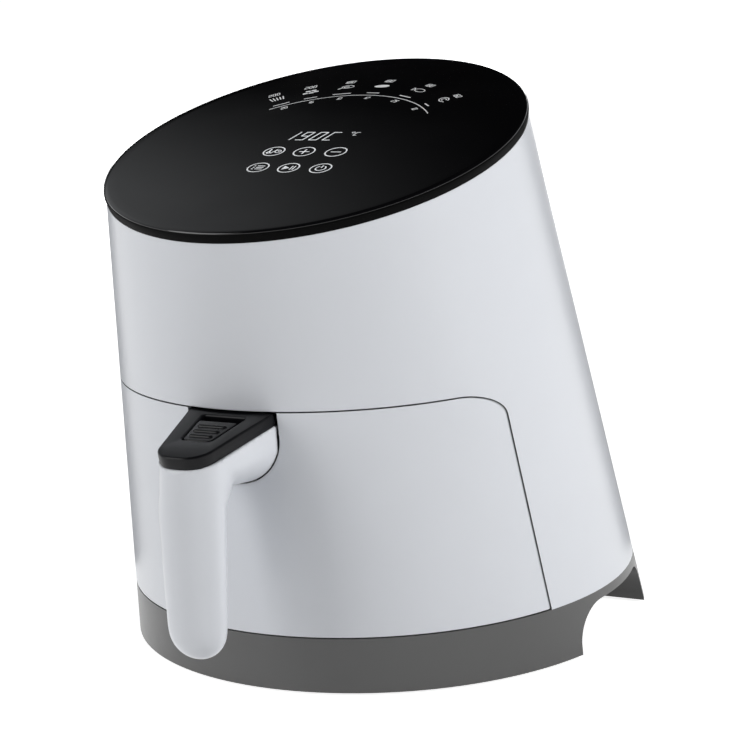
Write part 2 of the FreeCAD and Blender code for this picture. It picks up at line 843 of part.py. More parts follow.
node(
    cut(
        "liner",
        liner_whole,
        drum_void,
        cheeks_void,
        rod("roof_hole", "shaft_hole", ("0", chamber_y, "0"), TALL),
        box("liner_port", duct_at, duct_to),
        rod("sensor_hole", sensor_bore, ("sensor_x", chamber_y, DUCT_TOP), TALL),
    ),
    "chamber_liner",
)

# Exhaust duct: a short square sleeve from the chamber's port to the rear grille.
duct_skin = box(
    "duct_skin",
    ("-duct_half - duct_wall", "0", DUCT_LOW + " - duct_wall"),
    ("duct_half + duct_wall", FAR, DUCT_TOP + " + duct_wall"),
)
duct_sleeve = cut(
    "duct_sleeve",
    duct_skin,
    box("duct_air", duct_at, duct_to),
    rod("duct_end", LINER_OUT, ("0", chamber_y, "0"), TALL),
)
node(common("duct", duct_sleeve, hull("duct_edge", "shell_wall + seat_gap")), "exhaust_duct")

# Heater: one tube wound outwards in half turns, level under the chamber's roof.
heater_z = value("foot_lift") + value("top_rise") - value("head_room") - value("heater_drop")
axis_y = -value("pan_y")
half_step = value("heater_pitch") / 2
heater_edges = []
radius = value("heater_radius")
centre_x = 0.0
side = 1
for turn in range(4):
    start = Vector(centre_x + side * radius, axis_y, heater_z)
    middle = Vector(centre_x, axis_y + side * radius, heater_z)
    finish = Vector(centre_x - side * radius, axis_y, heater_z)
    heater_edges.append(Part.Arc(start, middle, finish).toShape())
    centre_x += side * half_step / 2
    radius += half_step / 2
    side = -side
heater_path = Part.Wire(heater_edges)
first_point = heater_edges[0].Vertexes[0].Point
heater_ring = Part.Wire([Part.Circle(first_point, Vector(0, 1, 0), value("heater_tube")).toShape()])
heater = doc.addObject("Part::Feature", "heater")
heater.Shape = heater_path.makePipeShell([heater_ring], True, False)
node(heater, "heating_element")

# Heater hangers: three strips that hold the tube up to the roof.
hangers = []
for k, angle in enumerate((60, 180, 300)):
    reach = "(heater_radius + heater_pitch)"
    strip = box(
        "hanger_strip%d" % k,
        ("heater_radius - heater_pitch", "-heater_tube", ROOF_LOW + " - heater_drop + heater_tube"),
        (reach, "heater_tube", ROOF_LOW + " - heater_drop + heater_tube + guard_wire"),
    )
    post = box(
        "hanger_post%d" % k,
        (reach, "-heater_tube", ROOF_LOW + " - heater_drop + heater_tube"),
        (reach + " + guard_wire", "heater_tube", ROOF_LOW),
    )
    hanger = fuse("hanger%d" % k, strip, post)
    hangers.append(place(hanger, ("0", chamber_y, "0"), (0, 0, 1), angle))
node(group("hanger_set", *hangers), "heater_hangers")

# Heater guard: two wire rings on six spokes, carried by three posts from the roof.
guard_z = ROOF_LOW + " - guard_drop"
rings = []
for name, radius_text in (("guard_ring_in", "guard_inner"), ("guard_ring_out", GUARD_OUTER)):
    ring = doc.addObject("Part::Torus", name)
    bind(ring, Radius1=radius_text, Radius2="guard_wire")
    rings.append(place(ring, ("0", chamber_y, guard_z)))
spokes = []
for k in range(6):
    spoke = rod("spoke%d" % k, "guard_wire * 0.9", ("0", chamber_y, guard_z), GUARD_OUTER, "x")
    turn = FreeCAD.Rotation(Vector(0, 0, 1), 60.0 * k) * FreeCAD.Rotation(Vector(0, 1, 0), 90.0)
    spoke.Placement.Rotation = turn
    spokes.append(spoke)
guard_posts = []
for k, angle in enumerate((0, 120, 240)):
    post = rod("guard_post%d" % k, "guard_post", ("0", "0", guard_z), "guard_drop")
    bind(post, **{"Placement.Base.x": "%s * cos(%d)" % (GUARD_OUTER, angle)})
    bind(post, **{"Placement.Base.y": "%s * sin(%d) - pan_y" % (GUARD_OUTER, angle)})
    guard_posts.append(post)
node(fuse("guard", *rings, *spokes, *guard_posts), "heater_guard")


def bladed(name, at, radius, disc, blade, hub, count, upward):
    """A fan wheel: a hub and a thin disc with straight radial blades on one face."""
    owner = body(name, at)
    disc_line = circle(sketch(owner, name + "_round", "XY_Plane"), radius)
    pad(owner, name + "_disc", disc_line, disc)
    hub_line = circle(sketch(owner, name + "_hub_round", "XY_Plane"), "hub_radius")
    pad(owner, name + "_hub", hub_line, hub, not upward)
    fin = [
        ("hub_radius - blade_thick", "-blade_thick / 2"),
        (radius + " - blade_thick", "-blade_thick / 2"),
        (radius + " - blade_thick", "blade_thick / 2"),
        ("hub_radius - blade_thick", "blade_thick / 2"),
    ]
    fin_line = polygon(sketch(owner, name + "_fin_line", "XY_Plane"), fin)
    fin_pad = pad(owner, name + "_fin", fin_line, blade, not upward)
    around(owner, name + "_fins", fin_pad, count)
    bore = pocket(
        owner,
        name + "_bore",
        circle(sketch(owner, name + "_bore_round", "XY_Plane"), "shaft_radius"),
        midplane=True,
    )
    owner.Tip = bore
    return owner


# Circulation fan: draws air up from the basket, over the heater.
fan_z = ROOF_LOW + " - fan_drop + fan_blade"
fan_at = ("0", chamber_y, fan_z)
fan_wheel = bladed("fan", fan_at, "fan_radius", "fan_disc", "fan_blade", "hub_height", 10, False)
node(fan_wheel, "circulation_fan")

# Cooling fan: on the shaft's upper end, cools the motor and the boards.
cooler_at = ("0", chamber_y, MOTOR_TOP + " + cooler_rise")
cooler_wheel = bladed(
    "cooler", cooler_at, "cooler_radius", "fan_disc", "cooler_height", "cooler_height", 8, True
)
node(cooler_wheel, "cooling_fan")

# Motor shaft: runs through the motor and carries both fans.
shaft_low = "(" + fan_z + " - hub_height - nut_height - fan_disc)"
shaft_top = MOTOR_TOP + " + cooler_rise + cooler_height + fan_disc"
shaft_at = ("0", chamber_y, shaft_low)
node(rod("shaft", "shaft_radius", shaft_at, shaft_top + " - " + shaft_low), "motor_shaft")

# Fan nut: a hexagon under the circulation fan's hub.
fan_nut = body("fan_nut_body", ("0", chamber_y, fan_z + " - hub_height - nut_height"))
hexagon = [
    ("nut_half / cos(30) * cos(%d)" % angle, "nut_half / cos(30) * sin(%d)" % angle)
    for angle in range(0, 360, 60)
]
nut_sketch = polygon(sketch(fan_nut, "nut_hexagon", "XY_Plane"), hexagon)
circle(nut_sketch, "shaft_radius")
pad(fan_nut, "nut_pad", nut_sketch, "nut_height")
node(fan_nut, "fan_nut")

# Motor bracket: a round stage on three posts that stand on the chamber's roof.
stage_at = ("0", chamber_y, STAGE_TOP + " - stage_thick")
stage_disc = rod("stage_disc", "stage_radius", stage_at, "stage_thick")
stage_posts = []
for k, angle in enumerate((90, 210, 330)):
    post = rod("stage_post%d" % k, "post_radius", ("0", "0", ROOF_TOP), "post_height")
    bind(post, **{"Placement.Base.x": "post_reach * cos(%d)" % angle})
    bind(post, **{"Placement.Base.y": "post_reach * sin(%d) - pan_y" % angle})
    stage_posts.append(post)
stage_hole = rod("stage_hole", "shaft_hole", ("0", chamber_y, "0"), TALL)
node(cut("stage", fuse("stage_solid", stage_disc, *stage_posts), stage_hole), "motor_bracket")

# Fan motor: a round can on the stage, with a running fit for the shaft.
motor_can = rod("motor_can", "motor_radius", ("0", chamber_y, STAGE_TOP), "motor_height")
motor_bore = rod("motor_bore", "shaft_radius + shaft_play", ("0", chamber_y, "0"), TALL)
node(cut("motor", motor_can, motor_bore), "fan_motor")

# Thermal cut-out: a small round sensor that stands on the roof with its tip in the chamber.
sensor_tip = rod("sensor_tip", sensor_bore, ("sensor_x", chamber_y, ROOF_LOW), "sensor_height")
sensor_cap = rod("sensor_cap", "sensor_radius", ("sensor_x", chamber_y, ROOF_TOP), "sensor_height")
node(fuse("sensor", sensor_tip, sensor_cap), "thermal_cutout")

# Power board: stands behind the chamber, with relays and a finned heat sink.
board_low = "foot_lift + power_low"
board_high = "foot_lift + power_high"
node(
    box(
        "power_plate",
        ("-power_half", POWER_Y, DECK_TOP),
        ("power_half", POWER_Y + " + power_thick", board_high),
    ),
    "power_board",
)
relay_back = POWER_Y + " + power_thick"
relay_top = board_low + " + relay_size * 1.4"
relays = [
    box(
        "relay%d" % k,
        ("%d * relay_size * 1.5 - relay_size / 2" % k, relay_back, board_low),
        ("%d * relay_size * 1.5 + relay_size / 2" % k, relay_back + " + relay_depth", relay_top),
    )
    for k in (-1, 0, 1)
]
node(group("relay_set", *relays), "power_relays")
sink_low = board_low + " + relay_size * 2"
sink_top = board_low + " + relay_size * 3.4"
sink_step = "(sink_half - power_thick / 2) / 2"
sink_plate = box(
    "sink_plate",
    ("-sink_half", relay_back, sink_low),
    ("sink_half", relay_back + " + power_thick", sink_top),
)
sink_fins = [
    box(
        "sink_fin%d" % k,
        ("%d * %s - power_thick / 2" % (k, sink_step), relay_back, sink_low),
        ("%d * %s + power_thick / 2" % (k, sink_step), relay_back + " + relay_depth", sink_top),
    )
    for k in (-2, -1, 0, 1, 2)
]
node(fuse("sink", sink_plate, *sink_fins), "heat_sink")

# Slanted top. Rim outlines follow the body where the slope cuts it.
def rim(grow, rise):
    """The body's outline at a height above the slanted plane, grown outwards."""
    tilt = math.radians(value("top_tilt"))
    base = value("base_radius")
    points = []
    count = 48
    for k in range(count):
        angle = 2 * math.pi * k / count
        z = value("top_rise")
        for step in range(40):
            share = z / (value("top_rise") + value("crown_over"))
            wide = base + (value("crown_half_width") - base) * share + grow
            deep = base + (value("crown_half_depth") - base) * share + grow
            y = -value("crown_lean") * share + deep * math.cos(angle)
            z = value("top_rise") + rise / math.cos(tilt) + y * math.tan(tilt)
        points.append(Vector(wide * math.sin(angle), y, z + value("foot_lift")))
    curve = Part.BSplineCurve()
    curve.interpolate(Points=points, PeriodicFlag=True)
    return Part.Wire([curve.toShape()])


# Top lid: the black carrier that lies on the shell's flange and flares outwards, with
# posts for the control board and a window for the display.
lid_plate = doc.addObject("Part::Feature", "lid_plate")
lid_rims = [rim(-value("lid_inset"), 0), rim(value("lid_flare"), value("lid_rise"))]
lid_plate.Shape = Part.makeLoft(lid_rims, True, True)
post_u = "board_half_width - board_inset"
lid_posts = [
    top_rod("lid_post%d" % k, "board_post", (u, v, "-board_drop"), "board_drop + lid_rise / 2")
    for k, (u, v) in enumerate(
        (sign + "(" + post_u + ")", "-field_reach " + way + " (board_half_length - board_inset)")
        for sign in ("", "-")
        for way in ("+", "-")
    )
]
window = top_box(
    "display_window",
    ("-display_half_width - seat_gap", "-display_reach - display_half_length - seat_gap", "-" + FAR),
    ("display_half_width + seat_gap", "-display_reach + display_half_length + seat_gap", FAR),
)
node(cut("lid", fuse("lid_solid", lid_plate, *lid_posts), window), "top_lid")

# Touch glass: one dark pane over the whole top, with a rounded rim.
glass_low = value("lid_rise")
glass = doc.addObject("Part::Feature", "glass")
glass.Shape = Part.makeLoft(
    [
        rim(value("lid_flare"), glass_low),
        rim(value("glass_flare"), glass_low + value("glass_belly")),
        rim(value("glass_crown"), glass_low + value("glass_rise")),
    ],
    True,
    True,
)
node(glass, "touch_glass")

# Control board: hangs on the lid's posts, under the touch field.
node(
    top_box(
        "control_plate",
        ("-board_half_width", "-field_reach - board_half_length", "-board_drop - board_thick"),
        ("board_half_width", "-field_reach + board_half_length", "-board_drop"),
    ),
    "control_board",
)

# Display module: a lit digit block on the board that reaches into the lid's window.
node(
    top_box(
        "display_block",
        ("-display_half_width", "-display_reach - display_half_length", "-board_drop"),
        ("display_half_width", "-display_reach + display_half_length", "display_rise - board_drop"),
    ),
    "display_module",
)

# Key pads: six sensing columns between the board and the lid.
pads = [
    top_rod(
        "key%d%d" % (column + 1, row),
        "key_radius",
        ("%d * key_pitch" % column, "-key_row_rear - %d * key_row_pitch" % row, "-board_drop"),
        "board_drop",
    )
    for row in (0, 1)
    for column in (-1, 0, 1)
]
node(group("key_set", *pads), "touch_pads")

# Drawer front: a piece of the body's own surface, notched for the handle.
panel_low = "(" + SKIRT_TOP + " + panel_gap)"
panel_block = common("panel_block", outer_form, front_prism("panel_outline", "0", panel_low))
notch_round = rod("notch_round", "notch_half", ("0", "0", NOTCH_Z), FAR, "-y")
notch_mouth = box("notch_mouth", ("-notch_half", "-" + FAR, NOTCH_Z), ("notch_half", "0", TALL))
panel_void = hull("panel_void", "panel_wall")
node(cut("panel", panel_block, panel_void, notch_round, notch_mouth), "drawer_front")

# Pan: a turned tray with a lip, lowered in front where the handle's neck passes.
pan = body("pan", ("0", chamber_y, PAN_LOW))
turned(
    pan,
    "pan_turn",
    [
        ("0", "0"),
        (PAN_BASE_RADIUS, "0"),
        (PAN_RADIUS, PAN_HEIGHT + " - pan_wall"),
        (PAN_RADIUS + " + pan_lip", PAN_HEIGHT + " - pan_wall"),
        (PAN_RADIUS + " + pan_lip", PAN_HEIGHT),
        (PAN_RADIUS + " - pan_wall", PAN_HEIGHT),
        (PAN_BASE_RADIUS + " - pan_wall", "pan_wall"),
        ("0", "pan_wall"),
    ],
)
notch_low = NOTCH_Z + " - notch_half - " + PAN_LOW
pan_notch = [
    ("-notch_half - pan_lip", notch_low),
    ("notch_half + pan_lip", notch_low),
    ("notch_half + pan_lip", "2 * " + PAN_HEIGHT),
    ("-notch_half - pan_lip", "2 * " + PAN_HEIGHT),
]
pan_notch_line = polygon(sketch(pan, "pan_notch_line", "XZ_Plane"), pan_notch)
pan.Tip = pocket(pan, "pan_notch", pan_notch_line, reverse=True)
node(pan, "frying_pan")

# Pan bracket: joins the pan to the drawer front, and its tongue takes the handle's latch.
catch_back = "catch_thick - " + CATCH_Y
bracket_plate = box(
    "bracket_plate",
    ("-bracket_half", "-" + CATCH_Y, BRACKET_TOP + " - bracket_plate_height"),
    ("bracket_half", catch_back, BRACKET_TOP),
)
tongue = box(
    "tongue",
    ("-catch_half", "-" + CATCH_Y, BRACKET_TOP + " - bracket_plate_height"),
    ("catch_half", catch_back, CATCH_TOP),
)
gussets = [
    box(
        "gusset_" + side,
        (low, "-" + FAR, BRACKET_TOP + " - bracket_height"),
        (high, "-pan_y", BRACKET_TOP),
    )
    for side, low, high in (
        ("left", "-bracket_half", "gusset_width - bracket_half"),
        ("right", "bracket_half - gusset_width", "bracket_half"),
    )
]
catch_window = box(
    "catch_window",
    ("-catch_window_half", "-" + FAR, CATCH_TOP + " - catch_bar - catch_window_height"),
    ("catch_window_half", FAR, CATCH_TOP + " - catch_bar"),
)
pan_cone = doc.addObject("Part::Cone", "pan_cone")
bind(pan_cone, Radius1=PAN_BASE_RADIUS, Radius2=PAN_RADIUS, Height=PAN_HEIGHT + " - pan_wall")
place(pan_cone, ("0", chamber_y, PAN_LOW))
bracket_solid = fuse("bracket_solid", bracket_plate, tongue, *gussets)
bracket_whole = common("bracket_whole", bracket_solid, panel_void)
node(cut("bracket", bracket_whole, pan_cone, catch_window), "pan_bracket")

# Drawer magnet and its sensor: tell the control that the drawer is shut.
magnet_z = "foot_lift + switch_height"
magnet_block = box(
    "magnet_block",
    ("-magnet_size / 2", "-" + FAR, magnet_z),
    ("magnet_size / 2", FAR, magnet_z + " + magnet_size"),
)
pan_rear = rod("pan_rear", PAN_RADIUS + " + pan_lip - seat_gap", ("0", chamber_y, "0"), TALL)
magnet_ring = cut("magnet_ring", common("magnet_limit", magnet_block, pan_rear), pan_cone)
rear_half = box("rear_half", ("-" + FAR, "0", "0"), (FAR, FAR, TALL))
node(common("magnet", magnet_ring, rear_half), "drawer_magnet")
switch_block = box(
    "switch_block",
    ("-switch_size / 2", "0", magnet_z),
    ("switch_size / 2", LINER_OUT + " - pan_y + switch_size / 2", magnet_z + " + switch_size"),
)
drum_full = rod("drum_full", LINER_OUT, ("0", chamber_y, "0"), TALL)
node(cut("switch", switch_block, drum_full), "drawer_sensor")

# Basket: a perforated bowl that hangs by its rim on the pan's lip.
basket = body("basket", ("0", chamber_y, "0"))
turned(
    basket,
    "basket_turn",
    [
        ("0", BASKET_LOW),
        (BASKET_BASE_RADIUS, BASKET_LOW),
        (BASKET_RADIUS, PAN_TOP),
        (BASKET_RADIUS + " + basket_rim", PAN_TOP),
        (BASKET_RADIUS + " + basket_rim", PAN_TOP + " + basket_wall"),
        (BASKET_RADIUS + " - basket_wall", PAN_TOP + " + basket_wall"),
        (BASKET_BASE_RADIUS + " - basket_wall", BASKET_LOW + " + basket_wall"),
        ("0", BASKET_LOW + " + basket_wall"),
    ],
)
for ring in (1, 2, 3, 4):
    hole = sketch(basket, "floor_hole%d" % ring, "XY_Plane")
    circle(hole, "floor_hole_radius", "%d * floor_ring_step" % ring)
    floor_cut = pocket(basket, "floor_cut%d" % ring, hole, reverse=True)
    around(basket, "floor_ring%d" % ring, floor_cut, 6 * ring)
slots = sketch(basket, "wall_slots", "XZ_Plane")
slots.setExpression("AttachmentOffset.Base.z", bound(BASKET_BASE_RADIUS + " - 2 * basket_gap"))
for row in (0, 1, 2):
    low = BASKET_LOW + " + slot_first + %d * slot_pitch" % row
    high = low + " + slot_height"
    polygon(slots, [("-slot_half", low), ("slot_half", low), ("slot_half", high), ("-slot_half", high)])
around(basket, "wall_ring", pocket(basket, "wall_cut", slots, reverse=True), 30)
node(basket, "fry_basket")

# Basket bumpers: four rubber buttons under the basket that stand on the pan's floor.
bumpers = []
for k, angle in enumerate((45, 135, 225, 315)):
    button = rod("bumper%d" % k, "bumper_radius", ("0", "0", PAN_LOW + " + pan_wall"), "basket_lift")
    bind(button, **{"Placement.Base.x": "%s * cos(%d)" % (BUMPER_REACH, angle)})
    bind(button, **{"Placement.Base.y": "%s * sin(%d) - pan_y" % (BUMPER_REACH, angle)})
    bumpers.append(button)
node(group("bumper_set", *bumpers), "basket_bumpers")

# Basket bracket: two legs from the basket's front wall to a plate behind the neck.
neck_plate = box(
    "neck_plate",
    ("-neck_plate_half", "-" + NECK_Y, NECK_PLATE_LOW),
    ("neck_plate_half", "neck_plate_thick - " + NECK_Y, NECK_PLATE_TOP),
)
legs = [
    box(
        "leg_" + side,
        (low, "-" + NECK_Y, NECK_PLATE_LOW),
        (high, "-pan_y", NECK_PLATE_LOW + " + leg_height"),
    )
    for side, low, high in (("left", "-leg_outer", "-leg_inner"), ("right", "leg_inner", "leg_outer"))
]
basket_cone = doc.addObject("Part::Cone", "basket_cone")
bind(basket_cone, Radius1=BASKET_BASE_RADIUS, Radius2=BASKET_RADIUS, Height=PAN_TOP + " - " + BASKET_LOW)
place(basket_cone, ("0", chamber_y, BASKET_LOW))
screw_at = [
    ("0", "neck_plate_thick - " + NECK_Y, NECK_PLATE_LOW + " + neck_screw_rise + %d * neck_screw_pitch" % k)
    for k in (0, 1)
]
screw_ways = [
    rod("screw_way%d" % k, "screw_radius", at, "screw_length + seat_gap", "-y")
    for k, at in enumerate(screw_at)
]
arm_solid = fuse("basket_arm_solid", neck_plate, *legs)
node(cut("basket_arm", arm_solid, basket_cone, group("screw_ways", *screw_ways)), "basket_bracket")

# Handle screws: hold the handle's neck to the bracket.
handle_screws = []
for k, at in enumerate(screw_at):
    thread = rod("handle_thread%d" % k, "screw_radius", at, "screw_length", "-y")
    head = rod("handle_head%d" % k, "screw_head", at, "screw_head_height", "y")
    handle_screws.append(fuse("handle_screw%d" % k, thread, head))
node(group("handle_screw_set", *handle_screws), "handle_screws")


def oval(name, half, deep, y, z):
    """One level cross-section of the grip."""
    section = doc.addObject("Part::Ellipse", name)
    bind(section, MajorRadius=half, MinorRadius=deep)
    return place(section, ("0", y, z))


# Handle grip: the neck fills the notch and runs out under the cover. The grip hangs
# from it as a tapering bar, with a fillet behind its top and a round lower end.
neck_half = "(notch_half - neck_gap)"
arm_reach = "(grip_reach_top + neck_tuck)"
neck_cone = doc.addObject("Part::Cone", "neck_cone")
bind(neck_cone, Radius1=neck_half, Radius2=neck_half + " - arm_rise", Height=arm_reach)
place(neck_cone, ("0", "-" + NECK_Y, NOTCH_Z), *AXES["-y"])
neck_head = box(
    "neck_head",
    ("-" + neck_half, "-%s - %s" % (NECK_Y, arm_reach), NOTCH_Z),
    (neck_half, "-" + NECK_Y, SEAM),
)
arm_limit = cover_body("arm_limit")
arm_spread = "(cover_half_root + neck_tuck - cover_tuck)"
arm_outline = [
    ("-" + arm_spread, NECK_Y),
    ("-cover_half_root", "0"),
    ("neck_gap / 2 - cover_half_tip", "neck_gap / 2 - cover_length"),
    ("cover_half_tip - neck_gap / 2", "neck_gap / 2 - cover_length"),
    ("cover_half_root", "0"),
    (arm_spread, NECK_Y),
]
arm_line = polygon(sketch(arm_limit, "arm_line", "XY_Plane"), arm_outline)
arm_pad = pad(arm_limit, "arm_pad", arm_line, "cover_length", True)


def at_tip(centre):
    """Tells the edges at the handle's front from those at its root."""
    return centre.y < -value("cover_length") / 2


doc.recompute()
arm_front = edges_along(arm_pad.Shape, Vector(0, 0, 1), at_tip)
softened(arm_limit, "arm_tip", arm_pad, arm_front, "cover_corner - neck_gap / 2")
arm = common("arm", fuse("arm_solid", neck_cone, neck_head), arm_limit)
grip_sections = [
    oval(
        "grip_top_oval",
        "grip_half_top",
        "grip_deep_top + grip_fillet / 4",
        "grip_fillet / 4 - %s - grip_reach_top" % FRONT_SEAM,
        SEAM + " - grip_drop_top",
    )
]
arm_low = "(" + NOTCH_Z + " - " + neck_half + " + arm_rise)"
for angle in (80, 60, 40, 20, 0):
    bulge = "(grip_fillet * (1 - cos(%d)) / 2)" % angle
    grip_sections.append(
        oval(
            "grip_fillet_oval%d" % angle,
            "grip_half_mid",
            "grip_deep_mid + " + bulge,
            "%s - %s - grip_reach_mid" % (bulge, FRONT_SEAM),
            "%s - grip_fillet * (1 - sin(%d))" % (arm_low, angle),
        )
    )
for k, share in enumerate((0.0, 0.3, 0.55, 0.75, 0.9, 0.98)):
    shrink = math.sqrt(1.0 - share * share)
    grip_sections.append(
        oval(
            "grip_end_oval%d" % k,
            "grip_half_low * %.4f" % shrink,
            "grip_deep_low * %.4f" % shrink,
            "-%s - grip_reach_low" % FRONT_SEAM,
            "%s - grip_drop_end + grip_round * %.4f" % (SEAM, 1.0 - share / 0.98),
        )
    )
grip = doc.addObject("Part::Loft", "grip")
grip.Sections = grip_sections
grip.Solid = True
grip.Ruled = True
above_arm = cover_box("above_arm", ("-" + FAR, "-" + FAR, "-cover_thick"), (FAR, FAR, FAR))
flange_half = "(window_half_rear + slider_lap / 2)"
flange_front = "(window_front + slider_lap)"
flange_rear = "(window_rear - slider_lap)"
flange_low = "(cover_thick + slider_play + slider_flange)"
flange_room = cover_box(
    "flange_room",
    ("-%s - slider_play" % flange_half, "-%s - slider_play" % flange_front, "-%s - slider_play" % flange_low),
    (flange_half + " + slider_play", FAR, "0"),
)
latch_room = cover_box(
    "latch_room",
    ("-spring_x - spring_width", "-latch_start - slider_play", "-%s - channel_depth" % flange_low),
    ("spring_x + spring_width", FAR, "0"),
)
handle_cuts = (above_arm, flange_room, latch_room, group("handle_bores", *screw_ways))
node(cut("handle", fuse("handle_solid", arm, grip), *handle_cuts), "handle_grip")

# Handle cover: the black top plate with a tapered window for the release slider.
cover = cover_body("cover")
outline = [
    ("-cover_half_root", "0"),
    ("-cover_half_tip", "-cover_length"),
    ("cover_half_tip", "-cover_length"),
    ("cover_half_root", "0"),
]
cover_line = polygon(sketch(cover, "cover_outline", "XY_Plane"), outline)
cover_pad = pad(cover, "cover_pad", cover_line, "cover_thick", True)
doc.recompute()
front_edges = edges_along(cover_pad.Shape, Vector(0, 0, 1), at_tip)
cover_tip = softened(cover, "cover_tip", cover_pad, front_edges, "cover_corner")
doc.recompute()
rim_edges = [
    number
    for number, edge in enumerate(cover_tip.Shape.Edges, 1)
    if edge.BoundBox.ZMin > -value("cover_edge") / 2 and edge.CenterOfMass.y < -value("cover_edge")
]
softened(cover, "cover_rim", cover_tip, rim_edges, "cover_edge")
slot_outline = [
    ("-window_half_rear", "-window_rear"),
    ("-window_half_front", "-window_front"),
    ("window_half_front", "-window_front"),
    ("window_half_rear", "-window_rear"),
]
window_line = polygon(sketch(cover, "cover_window", "XY_Plane"), slot_outline)
cover.Tip = pocket(cover, "cover_slot", window_line)
node(cover, "handle_cover")

# Release slider: a ribbed thumb piece in the window, on a flange under the cover.
slider = cover_body("slider")
window_taper = "((window_half_rear - window_half_front) / (window_front - window_rear))"
thumb_rear = "(window_rear + slider_travel + slider_play)"
thumb_front = "(window_front - slider_play)"
half_rear, half_front = [
    "(window_half_rear - (%s - window_rear) * %s - slider_side)" % (along, window_taper)
    for along in (thumb_rear, thumb_front)
]
thumb = [
    ("-" + half_rear, "-" + thumb_rear),
    ("-" + half_front, "-" + thumb_front),
    (half_front, "-" + thumb_front),
    (half_rear, "-" + thumb_rear),
]
thumb_line = polygon(sketch(slider, "thumb_line", "XY_Plane"), thumb)
pad(slider, "thumb_pad", thumb_line, flange_low, True)
for k in range(3):
    middle = "-rib_first - %d * rib_pitch" % k
    rib = [
        ("-(rib_half - %d * rib_height)" % k, middle + " - rib_width / 2"),
        ("rib_half - %d * rib_height" % k, middle + " - rib_width / 2"),
        ("rib_half - %d * rib_height" % k, middle + " + rib_width / 2"),
        ("-(rib_half - %d * rib_height)" % k, middle + " + rib_width / 2"),
    ]
    rib_line = polygon(sketch(slider, "rib_line%d" % k, "XY_Plane"), rib)
    pad(slider, "rib_pad%d" % k, rib_line, "rib_height")
flange = [
    ("-" + flange_half, "-" + flange_rear),
    ("-" + flange_half, "-" + flange_front),
    (flange_half, "-" + flange_front),
    (flange_half, "-" + flange_rear),
]
flange_line = polygon(sketch(slider, "flange_line", "XY_Plane"), flange)
flange_line.setExpression("AttachmentOffset.Base.z", bound("-cover_thick - slider_play"))
pad(slider, "flange_pad", flange_line, "slider_flange", True)
node(slider, "release_slider")

# Latch: a strip under the slider that ends in a leg with a nose in the pan bracket's tongue.
latch_top = "(0 - %s)" % flange_low
latch_strip = cover_box(
    "latch_strip",
    ("-latch_half", "-latch_start", latch_top + " - latch_thick"),
    ("latch_half", "latch_rear", latch_top),
)
latch_leg = cover_box(
    "latch_leg",
    ("-latch_half", "latch_rear - latch_thick", "-latch_drop"),
    ("latch_half", "latch_rear", latch_top),
)
latch_nose = cover_box(
    "latch_nose",
    ("-nose_half", "latch_rear - latch_thick - nose_length", "-latch_drop"),
    ("nose_half", "latch_rear", "nose_thick - latch_drop"),
)
node(fuse("latch", latch_strip, latch_leg, latch_nose), "latch_hook")

# Release spring: two bent leaves under the flange that push the slider forward again.
leaf_side = [
    ("spring_reach", "0"),
    ("spring_reach", "-spring_drop"),
    ("spring_reach - spring_thick", "-spring_drop"),
    ("0", "-spring_thick"),
    ("-spring_reach + spring_thick", "-spring_drop"),
    ("-spring_reach", "-spring_drop"),
    ("-spring_thick", "0"),
]
leaves = []
for side, sign in (("left", "-"), ("right", "")):
    leaf = cover_body("leaf_" + side)
    place(leaf, on_cover(sign + "spring_x - spring_width / 2", "-spring_reach - 1", latch_top))
    leaf_line = polygon(sketch(leaf, "leaf_line_" + side, "YZ_Plane"), leaf_side)
    pad(leaf, "leaf_pad_" + side, leaf_line, "spring_width")
    leaves.append(leaf)
node(group("leaf_set", *leaves), "release_spring")

doc.recompute()

# Every piece is checked before its file is written.
for item in doc.Objects:
    if "Invalid" in item.State or "Error" in item.State:
        raise RuntimeError("%s could not be built: %s" % (item.Label, item.State))
os.makedirs("parts", exist_ok=True)
for item in nodes:
    if item.Shape.isNull() or not item.Shape.isValid() or not item.Shape.Solids:
        raise RuntimeError("%s has no valid solid" % item.Label)
    item.Shape.exportStep("parts/%s.step" % item.Label)
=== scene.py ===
import math

import bmesh
import bpy
from mathutils import Matrix, Vector


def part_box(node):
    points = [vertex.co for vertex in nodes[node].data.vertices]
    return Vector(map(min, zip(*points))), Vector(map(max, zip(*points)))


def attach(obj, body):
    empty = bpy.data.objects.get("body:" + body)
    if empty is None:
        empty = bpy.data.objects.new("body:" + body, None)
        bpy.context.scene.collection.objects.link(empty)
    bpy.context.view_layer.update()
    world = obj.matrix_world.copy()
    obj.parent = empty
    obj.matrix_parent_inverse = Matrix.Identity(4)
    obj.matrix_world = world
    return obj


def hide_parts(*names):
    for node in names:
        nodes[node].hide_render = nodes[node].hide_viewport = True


# A basket-type hot-air fryer, dressed over its solids. The sections follow the order in
# which the appliance is put together: base, body, hot-air unit, slanted top, then the
# drawer from the pan out to the handle.
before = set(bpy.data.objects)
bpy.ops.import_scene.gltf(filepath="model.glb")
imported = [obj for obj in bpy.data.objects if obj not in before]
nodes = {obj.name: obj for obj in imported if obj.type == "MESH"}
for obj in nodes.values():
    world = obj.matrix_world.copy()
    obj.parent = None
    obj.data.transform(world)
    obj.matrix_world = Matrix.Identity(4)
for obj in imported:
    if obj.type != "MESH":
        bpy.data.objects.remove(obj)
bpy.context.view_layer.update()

# Base skirt: the grey ring that the body stands on, with a hand pocket on each side.
# Injection-moulded in mass-coloured plastic with a fine eroded grain, and screwed to the
# bottom plate through four bosses.
SKIRT_GREY = (0.085, 0.085, 0.084, 1.0)
GRAIN_REACH = 0.0002
SURFACE = {"Colour": "Color", "Roughness": "Float", "Normal": "Vector"}


def feed(tree, socket, value):
    """Link another socket to this one, or set it to a constant."""
    if isinstance(value, bpy.types.NodeSocket):
        tree.links.new(value, socket)
    else:
        socket.default_value = value


